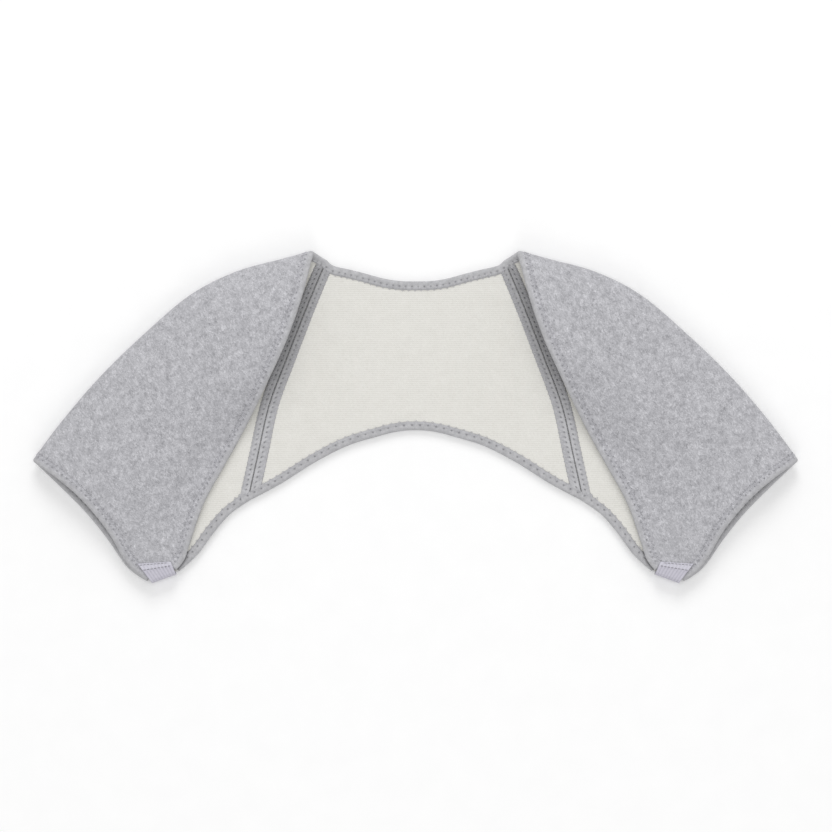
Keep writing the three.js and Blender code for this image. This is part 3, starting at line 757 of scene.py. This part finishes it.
# Plump fleece beside the front tapes and uneven lining; the girths where the one starts and the seam's groove ends
PUFF = 0.25
PUFF_FROM = (3.0, 3.4)
GROOVE_TO = 2.2
LINING_PUFF = 0.1
LINING_SEED, LINING_WAVES = 5, (9, 30)
LINING_SLACK = 0.05
sleeve_girths = spans((0, 1, 30), (1, 2, 84), (2, 3, 16), (3, 4, 34), (4, 5, 72))
sleeve_alongs = spans((0, 0.05, 14), (0.05, 0.1, 5), (0.1, 0.9, 56), (0.9, 0.95, 5), (0.95, 1, 14))
lining_girths = spans((0, 1, 18), (1, 2, 50), (2, 3, 12), (3, 4, 22), (4, 5, 42))
lining_alongs = spans((0, 0.06, 5), (0.06, 0.94, 46), (0.94, 1, 5))
half_acrosses = spans((0, 0.9, 40), (0.9, 1, 12))
back_acrosses = np.concatenate([-half_acrosses[:0:-1], half_acrosses])
back_upwards = spans((0, 0.09, 14), (0.09, 0.91, 46), (0.91, 1, 14))
SEAM_GAP_SHARE = 0.0012


def lining_foot(x, y):
    """Depth of the lining's face towards the wearer, a little uneven and clear of the tapes."""
    uneven = LINING_PUFF * waves(x, y, LINING_SEED, *LINING_WAVES)
    return LINING_FOOT + np.minimum(uneven, TAPE_TOP - LINING_FOOT - LINING_SLACK)


def sleeve_pieces(word, side):
    girth, along = np.meshgrid(sleeve_girths, sleeve_alongs, indexing="ij")
    face, inward = sleeve_face(girth, along, side), sleeve_inward(girth, along, side)
    on_line = np.linspace(0, 5, LINE_PARTS)
    inner_line, cuff_line = (sleeve_face(on_line, end, side) for end in (0.0, 1.0))
    front_line = np.concatenate([inner_line[on_line >= 3], cuff_line[on_line >= 3]])
    back_line = np.concatenate([inner_line[(on_line <= 1) | ((on_line >= 2) & (on_line <= 3))],
                                cuff_line[on_line <= 3]])
    seam_line = inner_line[(on_line >= 1) & (on_line <= 2)]
    from_edge = np.where(girth >= 3, distance_to(face, front_line), distance_to(face, back_line))
    deep = edge_depth(from_edge, PUFF * smooth_step(girth, *PUFF_FROM))
    deep = np.maximum(deep, np.where(girth < GROOVE_TO, seam_groove(distance_to(face, seam_line)), -1))
    fleece = wall_piece(f"{word}_sleeve_fleece", face + inward * deep[..., None], face + inward * FLEECE,
                        FLEECE_CLOTH, side)
    girth, along = np.meshgrid(lining_girths, lining_alongs, indexing="ij")
    face, inward = sleeve_face(girth, along, side), sleeve_inward(girth, along, side)
    foot = lining_foot(face[..., 0] * side, face[..., 1] + face[..., 2])
    lining = wall_piece(f"{word}_sleeve_knit", face + inward * LINING_TOP, face + inward * foot[..., None],
                        LINING_CLOTH, side)
    return fleece, lining


def back_pieces():
    across, upward = np.meshgrid(back_acrosses, back_upwards, indexing="ij")
    face = back_face(np.minimum(np.abs(across), 1 - SEAM_GAP_SHARE), upward)
    side = np.where(across < 0, -1.0, 1.0)
    edges = np.concatenate([back_edge(0.0), back_edge(1.0)])
    seam_line = back_face(1.0, np.linspace(0, 1, 400))
    deep = np.maximum(edge_depth(distance_to(face, edges), 0.0), seam_groove(distance_to(face, seam_line)))
    face[..., 0] *= side
    up = np.zeros_like(face)
    up[..., 2] = 1
    foot = lining_foot(face[..., 0], face[..., 1])
    fleece = wall_piece("back_fleece", face + up * deep[..., None], face + up * FLEECE, FLEECE_CLOTH)
    lining = wall_piece("back_knit", face + up * LINING_TOP, face + up * foot[..., None], LINING_CLOTH)
    return fleece, lining


def swept(name, ring_points, lay, fields, material, side=1):
    """A closed tube from rings of points."""
    stations, ring = ring_points.shape[:2]
    around = list(range(ring))
    ends = [around[::-1], [(stations - 1) * ring + n for n in around]]
    points = on_side(ring_points.reshape(-1, 3), side)
    fields = {key: np.broadcast_to(values, ring_points.shape[:2]) for key, values in fields.items()}
    return make_piece(name, points, tube_faces(stations, ring), material, lay.reshape(-1, 2), fields, ends)


def hole_dip(run, pitch, from_hole):
    """How far tape is drawn down round its needle holes."""
    pull = (0.5 + 0.5 * np.cos(2 * math.pi * run / pitch)) ** 2
    return HOLE_DIP * np.exp(-((from_hole / HOLE_WIDTH) ** 2)) * pull


# How much the painted shade in the needle holes shows, more under the front edge, how far the holes are drawn down,
# and from where to where in from its edge a tape is brushed
OUTER_MARKS = 0.36
WEARER_MARKS = 0.44
SEAM_MARKS = 0.5
SEAM_MARKS_UNDER_FRONT = 0.95
OUTER_DIP, WEARER_DIP = 0.6, -1.0
BRUSHED = (0.3, 3.2)
# Painted shade in the crease under the front edge: over which shares of the seam, and how grey it paints each seam
# strip; and how wide the painted shadow is on the hem tape beside the line where the front edge lies over it
CREASE = (0.25, 0.65)
SLEEVE_STRIP_PAINTED_SHADE = 0.55
BACK_STRIP_PAINTED_SHADE = 0.36
OVER_LINE_WIDTH = 1.3
SEAM_STATIONS = 180


def tape_piece(name, track, pitch=STITCH_PITCH, material=EDGE_TAPE, over_line=None):
    """An edge tape folded round its edge, drawn down a little at every needle hole, and with painted shadow along a
    line of cloth that lies over it."""
    within, deep = column(TAPE_SECTION, "in"), column(TAPE_SECTION, "deep")
    outside = deep < STACK_MIDDLE
    from_hole = within - np.where(outside, TAPE_LEGS["outer"]["hole"], TAPE_LEGS["wearer"]["hole"])
    run = track["length"][:, None]
    shown = (np.abs(deep - STACK_MIDDLE) > FACE_FROM_MIDDLE).astype(float)
    dip = hole_dip(run, pitch, from_hole) * np.where(outside, OUTER_DIP, WEARER_DIP) * shown
    points = on_track(track, run, within, deep + dip)
    lay = np.stack(np.broadcast_arrays(run / pitch, from_hole / 10), -1)
    fields = {"marks": np.where(outside, OUTER_MARKS, WEARER_MARKS),
              "woolly": np.where(outside, smooth_step(within, *BRUSHED), 0.0)}
    # Painted shadow on the face towards the wearer, close beside the line of cloth that lies over the tape
    if over_line is not None:
        away = distance_to(in_plan(points), in_plan(over_line))
        fields["dull"] = np.exp(-((away / OVER_LINE_WIDTH) ** 2)) * ~outside
    return swept(name, points, lay, fields, material)


SEAM_LENGTH = float(np.linalg.norm(np.diff(seam(np.linspace(0, 1, 400)), axis=0), axis=1).sum())
END_SHARES = np.linspace(0, 0.2, 240)


def seam_point(share, within, deep, on_sleeve):
    """A point beside the seam, on the back panel's side or the sleeve's."""
    share, within, deep = np.broadcast_arrays(share, within, deep)
    step = 1e-3
    tangent = unit(seam(np.clip(share + step, 0, 1)) - seam(np.clip(share - step, 0, 1)))
    if on_sleeve:
        row = sleeve_face(1 + share, step, 1)[..., :2] - sleeve_face(1 + share, 0.0, 1)[..., :2]
    else:
        row = back_face(1 - step, share)[..., :2] - back_face(1.0, share)[..., :2]
    row = unit(row)
    square = np.abs(row[..., 0] * tangent[..., 1] - row[..., 1] * tangent[..., 0])
    plan = seam(share) + row * (within / np.maximum(square, 0.2))[..., None]
    return np.concatenate([plan, deep[..., None]], -1)


hem_plan = in_plan(np.concatenate([back_edge(0.0), sleeve_face(np.linspace(1, 0, 200), 0.0, 1)]))
neck_plan = in_plan(np.concatenate([back_edge(1.0), sleeve_face(np.linspace(2, 3, 200), 0.0, 1)]))


def seam_ends(within, on_sleeve):
    """Shares of the seam between which places beside it are clear of the hem's and the neck's tape."""
    ends = []
    for line, shares in ((hem_plan, END_SHARES), (neck_plan, 1 - END_SHARES)):
        away = distance_to(seam_point(shares[:, None], within, 0.0, on_sleeve), line)
        away = np.maximum.accumulate(away, axis=0)
        ends.append(np.array([np.interp(SEAM_CLEAR, away[:, k], shares) for k in range(len(within))]))
    return ends


def strip_reach(share, on_sleeve):
    return np.where(on_sleeve, SLEEVE_STRIP, BACK_STRIP + (BACK_STRIP_AT_NECK - BACK_STRIP) * share)


def seam_tape_piece(name, on_sleeve, side):
    within, deep = column(SEAM_SECTION, "in"), column(SEAM_SECTION, "deep")
    low, high = seam_ends(within, on_sleeve)
    share = low + (high - low) * np.linspace(0, 1, SEAM_STATIONS)[:, None]
    widen = (strip_reach(share, on_sleeve) - SEAM_HOLE_IN) / (within.max() - SEAM_HOLE_IN)
    within = np.where(within > SEAM_HOLE_IN, SEAM_HOLE_IN + (within - SEAM_HOLE_IN) * widen, within)
    run = share * SEAM_LENGTH
    dip = np.where(deep > SEAM_FACE, hole_dip(run, SEAM_PITCH, within - SEAM_HOLE_IN), 0)
    points = seam_point(share, within, deep - dip, on_sleeve)
    lay = np.stack(np.broadcast_arrays(run / SEAM_PITCH, (within - SEAM_HOLE_IN) / 10), -1)
    # Painted shade in the crease under the front edge: greyer tape, and darker pricks on the sleeve's strip
    in_crease = smooth_step(share, *CREASE)
    fields = {"marks": SEAM_MARKS + (SEAM_MARKS_UNDER_FRONT - SEAM_MARKS) * in_crease * on_sleeve, "woolly": 0.0,
              "dull": in_crease * (SLEEVE_STRIP_PAINTED_SHADE if on_sleeve else BACK_STRIP_PAINTED_SHADE)}
    return swept(name, points, lay, fields, SEAM_TAPE, side)


# The search for a place on a sleeve front: where it starts, how many steps it takes and the girths it keeps to
SEARCH_GIRTH, SEARCH_ALONG = 4.9, 0.5
SEARCH_STEPS = 12
FRONT_GIRTHS = (3.5, 5)


def front_height(plan, side):
    """Height of a sleeve front's outer face above places in plan near its lower end."""
    girth, along = (np.full(plan.shape[:-1], start) for start in (SEARCH_GIRTH, SEARCH_ALONG))
    for _ in range(SEARCH_STEPS):
        by_girth, by_along = sleeve_slopes(girth, along, side)
        miss = plan - sleeve_face(girth, along, side)[..., :2]
        area = by_girth[..., 0] * by_along[..., 1] - by_girth[..., 1] * by_along[..., 0]
        girth = girth + (miss[..., 0] * by_along[..., 1] - miss[..., 1] * by_along[..., 0]) / area
        along = along + (by_girth[..., 0] * miss[..., 1] - by_girth[..., 1] * miss[..., 0]) / area
        girth, along = np.clip(girth, *FRONT_GIRTHS), np.clip(along, 0, 1)
    return sleeve_face(girth, along, side)[..., 2]


ELASTIC_COLUMNS = ELASTIC_RIBS * 8
ELASTIC_LEG_ROWS, ELASTIC_BEND_ROWS = 22, 8


def elastic_face(side):
    """Outer face and inward direction of the elastic, rows along it from its top end, columns across its ribs."""
    share = np.linspace(0, 1, ELASTIC_COLUMNS + 1)[:, None]
    corner = {key: np.array(value) for key, value in ELASTIC_CORNERS.items()}
    fold_end = corner["fold_at_cuff"] * (1 - share) + corner["fold_at_hem"] * share
    top_end = corner["top_at_cuff"] * (1 - share) + corner["top_at_front"] * share
    length = np.linalg.norm(top_end - fold_end, axis=1)
    away = unit(top_end - fold_end)
    legs = np.linspace(1, 0, ELASTIC_LEG_ROWS)
    turns = np.linspace(0, math.pi / 2, ELASTIC_BEND_ROWS)
    run = ELASTIC_BEND + (length - ELASTIC_BEND) * legs[:, None]
    plan = fold_end + away * run[..., None]
    over = front_height(plan, side) + ELASTIC_CLEARANCE + ELASTIC_THICK
    upright = np.broadcast_to([0, 0, 1.0], (len(share), 3))
    rows = [(np.append(places, heights[:, None], 1), -upright) for places, heights in zip(plan, over)]
    centre = fold_end + away * ELASTIC_BEND
    for half, level in ((1, over[-1] - ELASTIC_BEND), (-1, np.full(len(share), ELASTIC_BEND))):
        for turn in (turns[1:] if half > 0 else turns[::-1]):
            outward = np.append(-away * math.sin(turn), np.full((len(share), 1), half * math.cos(turn)), 1)
            rows.append((np.append(centre, level[:, None], 1) + outward * ELASTIC_BEND, -outward))
    rows += [(np.append(places, np.zeros((len(share), 1)), 1), upright) for places in plan[-2::-1]]
    return np.stack([row[0] for row in rows]), np.stack([row[1] for row in rows])


def elastic_piece(name, side):
    face, inward = elastic_face(side)
    share = np.linspace(0, 1, ELASTIC_COLUMNS + 1)
    rib = RIB_HEIGHT * (0.5 - 0.5 * np.cos(2 * math.pi * ELASTIC_RIBS * share))
    shown = smooth_step(face[..., 2], *RIBS_RISE)
    outer = face - inward * (rib * shown)[..., None]
    inner = face + inward * (ELASTIC_THICK - ELASTIC_TRIM)
    run = run_along(face[:, len(share) // 2])
    lay = np.stack(np.broadcast_arrays(ELASTIC_RIBS * share - 0.5, run[:, None] / 10), -1).reshape(-1, 2)
    return wall_piece(name, outer, inner, ELASTIC_CLOTH, side, np.concatenate([lay, lay]))


# Thread: lines of points that sink at the needle holes, turned into round thread

def thread_tree():
    tree = bpy.data.node_groups.new("round_thread", "GeometryNodeTree")
    sockets = {}
    for label, kind in (("Lines", "NodeSocketGeometry"), ("Thread radius", "NodeSocketFloat"),
                        ("Sides", "NodeSocketInt"), ("Thread", "NodeSocketMaterial")):
        sockets[label] = tree.interface.new_socket(label, in_out="INPUT", socket_type=kind).identifier
    tree.interface.new_socket("Stitches", in_out="OUTPUT", socket_type="NodeSocketGeometry")
    given, out = tree.nodes.new("NodeGroupInput").outputs, tree.nodes.new("NodeGroupOutput").inputs
    lines = node(tree, "GeometryNodeMeshToCurve", {"Mesh": given["Lines"]})
    ring = node(tree, "GeometryNodeCurvePrimitiveCircle", {"Resolution": given["Sides"],
                                                           "Radius": given["Thread radius"]})
    round_thread = node(tree, "GeometryNodeCurveToMesh", {
        "Curve": lines.outputs["Curve"], "Profile Curve": ring.outputs["Curve"], "Fill Caps": True})
    smooth = node(tree, "GeometryNodeSetShadeSmooth", {"Geometry": round_thread.outputs["Mesh"]})
    real = node(tree, "GeometryNodeRealizeInstances", {"Geometry": smooth.outputs["Geometry"]})
    dressed = node(tree, "GeometryNodeSetMaterial", {"Geometry": real.outputs["Geometry"],
                                                     "Material": given["Thread"]})
    tree.links.new(dressed.outputs["Geometry"], out["Stitches"])
    return tree, sockets


THREAD_TREE, THREAD_SOCKETS = thread_tree()
THREAD_RADIUS = 0.2
THREAD_SIDES = 6


def thread_piece(name, lines, material, radius=THREAD_RADIUS):
    """One mesh of thread along many lines; each line is (points in millimetres, dip at each point, drawn as painted
    shade).
    """
    points = np.concatenate([line for line, _ in lines]) * MM
    dips = np.concatenate([dip for _, dip in lines])
    edges, start = [], 0
    for line, _ in lines:
        edges += [(start + n, start + n + 1) for n in range(len(line) - 1)]
        start += len(line)
    mesh = bpy.data.meshes.new(f"{name}_lines")
    mesh.from_pydata(points.tolist(), edges, [])
    mesh.attributes.new("dip", "FLOAT", "POINT").data.foreach_set("value", dips.astype(np.float32))
    lines_object = put(f"{name}_lines", mesh)
    sewing = lines_object.modifiers.new("sewing", "NODES")
    sewing.node_group = THREAD_TREE
    sewing[THREAD_SOCKETS["Thread radius"]] = radius * MM
    sewing[THREAD_SOCKETS["Sides"]] = THREAD_SIDES
    sewing[THREAD_SOCKETS["Thread"]] = material
    depsgraph = bpy.context.evaluated_depsgraph_get()
    made = bpy.data.meshes.new_from_object(lines_object.evaluated_get(depsgraph))
    made.name = name
    bpy.data.objects.remove(lines_object)
    bpy.data.meshes.remove(mesh)
    return put(name, made)


LEG_SHARES = np.array([0, 0.13, 0.36, 0.6, 0.78, 0.9, 1.0])
LEG_DIPS = np.array([1.0, 0.35, 0.0, 0.0, 0.1, 0.4, 1.0])
# Painted shade along each leg of a zigzag, darkest at the needle holes
LEG_SHADES = np.array([1.0, 0.4, 0.0, 0.0, 0.0, 0.1, 0.45])
THREAD_LIFT = 0.2
THREAD_SINK = 0.3
ZIGZAG_START = 1.0
SEAM_ZIGZAG_START = 0.5
TIP_SHARE = 0.85
IN_HOLE = 0.9
ON_LINING = LINING_FOOT + 0.05
# Heights of thread over the outer edge of a seam tape (past: from that edge, deep: from the outer face)
STRIP_FALL = table("past deep",
    (-2.2, TAPE_FOOT), (-1.1, TAPE_FOOT - 0.25), (0.0, ON_LINING))


def thread_lift(dip, sink=THREAD_SINK):
    """How far thread stands off the cloth: up between its holes and sunk at them."""
    return THREAD_LIFT * (1 - dip) - sink * (dip > IN_HOLE)


def zigzag_runs(length, pitch, start):
    """Runs, in-and-out shares, dips and shades of the points of a zigzag line."""
    count = int((length - 2 * start) / pitch)
    base = (math.ceil(start / pitch) + np.arange(count)[:, None]) * pitch
    runs = np.concatenate([base + LEG_SHARES[:-1] * pitch / 2, base + (2 - LEG_SHARES[:0:-1]) * pitch / 2], 1)
    there_and_back = [np.tile(np.concatenate([row[:-1], row[:0:-1]]), count)
                      for row in (LEG_SHARES, LEG_DIPS, LEG_SHADES)]
    return runs.ravel(), *there_and_back


def zigzag(track, leg, pitch):
    """A zigzag over the inner edge of a leg of an edge tape."""
    run, share, dip, shade = zigzag_runs(track["length"][-1], pitch, ZIGZAG_START)
    size = TAPE_LEGS[leg]
    within = size["hole"] + (size["tip"] - size["hole"]) * share
    face = sorted((OUTER_FACE if leg == "outer" else WEARER_FACE), key=lambda row: row["in"])
    tape = np.interp(within, column(face, "in"), column(face, "deep"))
    if leg == "outer":
        deep = np.where(within < size["reach"], tape, edge_depth(within, PUFF)) - thread_lift(dip)
    else:
        deep = np.where(within < size["reach"], tape, ON_LINING) + thread_lift(dip)
    return on_track(track, run, within, deep), np.where(share > TIP_SHARE, size["tip_shade"], shade)


def edge_stitches(name, track, pitch=STITCH_PITCH):
    return thread_piece(name, [zigzag(track, leg, pitch) for leg in TAPE_LEGS], GREY_THREAD)


def seam_zigzag(on_sleeve, side):
    ends = seam_ends(np.array([SEAM_HOLE_IN, strip_reach(0.0, on_sleeve) + SEAM_TIP_PAST]), on_sleeve)
    low, high = ends[0].max() * SEAM_LENGTH, ends[1].min() * SEAM_LENGTH
    run, share, dip, shade = zigzag_runs(high - low, SEAM_PITCH, SEAM_ZIGZAG_START)
    run = run + math.ceil(low / SEAM_PITCH) * SEAM_PITCH
    reach = strip_reach(run / SEAM_LENGTH, on_sleeve)
    within = SEAM_HOLE_IN + (reach + SEAM_TIP_PAST - SEAM_HOLE_IN) * share
    strip = np.interp(within - reach, column(STRIP_FALL, "past"), column(STRIP_FALL, "deep"))
    return on_side(seam_point(run / SEAM_LENGTH, within, strip + thread_lift(dip), on_sleeve), side), shade


BEAD_PITCH = 4.0
BEAD_LONG = 0.7
BEAD_RADIUS = 0.21
BEAD_DEEP = 4.75
BEAD_SHARES = np.array([0, 0.15, 0.5, 0.85, 1.0])
BEAD_DIPS = np.array([1.0, 0.4, 0.0, 0.4, 1.0])


def seam_beads(side):
    """Short dark stitches that join the two edges, one after another down the middle of the seam; their dark thread
    also stands for painted shade in the seam's groove.
    """
    ends = seam_ends(np.array([0.0]), False)
    lines = []
    for start in np.arange(ends[0][0] * SEAM_LENGTH + 1, ends[1][0] * SEAM_LENGTH - BEAD_PITCH, BEAD_PITCH):
        run = start + BEAD_SHARES * BEAD_PITCH * BEAD_LONG
        points = seam_point(run / SEAM_LENGTH, 0.0, BEAD_DEEP + thread_lift(BEAD_DIPS), False)
        lines.append((on_side(points, side), BEAD_DIPS))
    return lines


# Stitches over the elastic's sewn end: rows from its top end, step along a row, place of the first
ELASTIC_ROWS = (1.2, 5.2)
ELASTIC_PITCH = 3.0
ELASTIC_START = 0.8
ELASTIC_SINK = 0.45


def elastic_rows(side):
    """Rows of short stitches across the elastic."""
    face, _ = elastic_face(side)
    run = run_along(face[:, face.shape[1] // 2])
    lines = []
    for within in ELASTIC_ROWS:
        row = np.array([[np.interp(within, run, face[:, j, k]) for k in range(3)] for j in range(face.shape[1])])
        width = run_along(row)
        for start in np.arange(ELASTIC_START, width[-1] - ELASTIC_PITCH, ELASTIC_PITCH):
            place = start + BEAD_SHARES * ELASTIC_PITCH * BEAD_LONG
            line = np.stack([np.interp(place, width, row[:, k]) for k in range(3)], -1)
            line[:, 2] += RIB_HEIGHT + thread_lift(BEAD_DIPS, ELASTIC_SINK)
            lines.append((on_side(line, side), BEAD_DIPS))
    return lines


def dress(piece, node_name):
    """The piece rides with the part and stands for a solid where it has one."""
    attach(piece, "root")
    if node_name:
        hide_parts(node_name)
    return piece


back_fleece, back_knit = back_pieces()
dress(back_fleece, "back_panel")
dress(back_knit, "back_lining")
neck_tape = dress(tape_piece("neck_tape", neck_track), "neck_binding")
# The front edge's rim in plan, beside which the hem tape gets a painted shadow
front_rim = neck_track["points"][:, 0] + neck_track["outward"] * EDGE_OUT
hem_tape = dress(tape_piece("hem_tape", hem_track, HEM_PITCH, HEM_TAPE, front_rim), "hem_binding")
neck_stitches = dress(edge_stitches("neck_stitches", neck_track), None)
hem_stitches = dress(edge_stitches("hem_stitches", hem_track, HEM_PITCH), None)
seam_pieces = []
for word, side in (("right", 1), ("left", -1)):
    sleeve_fleece, sleeve_knit = sleeve_pieces(word, side)
    dress(sleeve_fleece, f"{word}_sleeve")
    dress(sleeve_knit, f"{word}_sleeve_lining")
    cuff_tape = dress(tape_piece(f"{word}_cuff_tape", cuff_tracks[side]), f"{word}_cuff_binding")
    cuff_stitches = dress(edge_stitches(f"{word}_cuff_stitches", cuff_tracks[side]), None)
    sleeve_seam = dress(seam_tape_piece(f"{word}_sleeve_seam_tape", True, side), f"{word}_sleeve_tape")
    back_seam = dress(seam_tape_piece(f"{word}_back_seam_tape", False, side), f"{word}_back_tape")
    zigzags = [seam_zigzag(on_sleeve, side) for on_sleeve in (True, False)]
    seam_stitches = dress(thread_piece(f"{word}_seam_stitches", zigzags, GREY_THREAD), None)
    join_stitches = dress(thread_piece(f"{word}_join_stitches", seam_beads(side), DARK_THREAD, BEAD_RADIUS),
                          None)
    elastic_strip = dress(elastic_piece(f"{word}_elastic_strip", side), f"{word}_elastic")
    elastic_stitches = dress(thread_piece(f"{word}_elastic_stitches", elastic_rows(side), DARK_THREAD),
                             None)
    seam_pieces += [back_seam, seam_stitches, join_stitches]


# Floor, light and camera

def paper_material():
    material, tree = new_material("pale_paper", roughness=0.9, sheen=0.0)
    grain = noise(tree, object_place(tree), scale=40.0, detail=3.0)
    return finished(material, colour_steps(tree, grain, [(0.2, grey(0.96)), (0.8, grey(0.98))]))


FLOOR_HALF = 6.0
FLOOR_DROP = 0.0004
floor_mesh = bpy.data.meshes.new("floor")
floor_corners = [(x * FLOOR_HALF, y * FLOOR_HALF, -FLOOR_DROP) for x, y in ((-1, -1), (1, -1), (1, 1), (-1, 1))]
floor_mesh.from_pydata(floor_corners, [], [(0, 1, 2, 3)])
floor_mesh.materials.append(paper_material())
floor = put("floor", floor_mesh)


def soft_light(name, place, size, power):
    lamp = bpy.data.lights.new(name, "AREA")
    lamp.size, lamp.energy = size, power
    made = put(name, lamp)
    made.location = place
    made.rotation_euler = (Vector((0, 0, 0)) - Vector(place)).to_track_quat("-Z", "Y").to_euler()


SURROUND_LEVEL = 0.58
soft_light("overhead_light", (0.0, 0.2, 6.4), size=2.4, power=90)
soft_light("upper_light", (0.0, 3.2, 2.4), size=1.8, power=54)
soft_light("lower_light", (0.0, -3.2, 2.4), size=1.8, power=14)
world = bpy.data.worlds.new("studio")
world.use_nodes = True
surround = world.node_tree.nodes["Background"].inputs
surround["Color"].default_value = (1, 1, 1, 1)
surround["Strength"].default_value = SURROUND_LEVEL
bpy.context.scene.world = world
bpy.context.scene.view_settings.view_transform = "Standard"

CAMERA_HEIGHT = 6.0
CAMERA_SHIFT = (0.0004, 0.0004)
FRAME_WIDTH = 0.70512
SENSOR = 36.0
camera_data = bpy.data.cameras.new("camera")
camera_data.sensor_width = SENSOR
camera_data.lens = SENSOR * CAMERA_HEIGHT / FRAME_WIDTH
camera_data.clip_end = 100
camera = put("camera", camera_data)
camera.location = (*CAMERA_SHIFT, CAMERA_HEIGHT)
bpy.context.scene.camera = camera
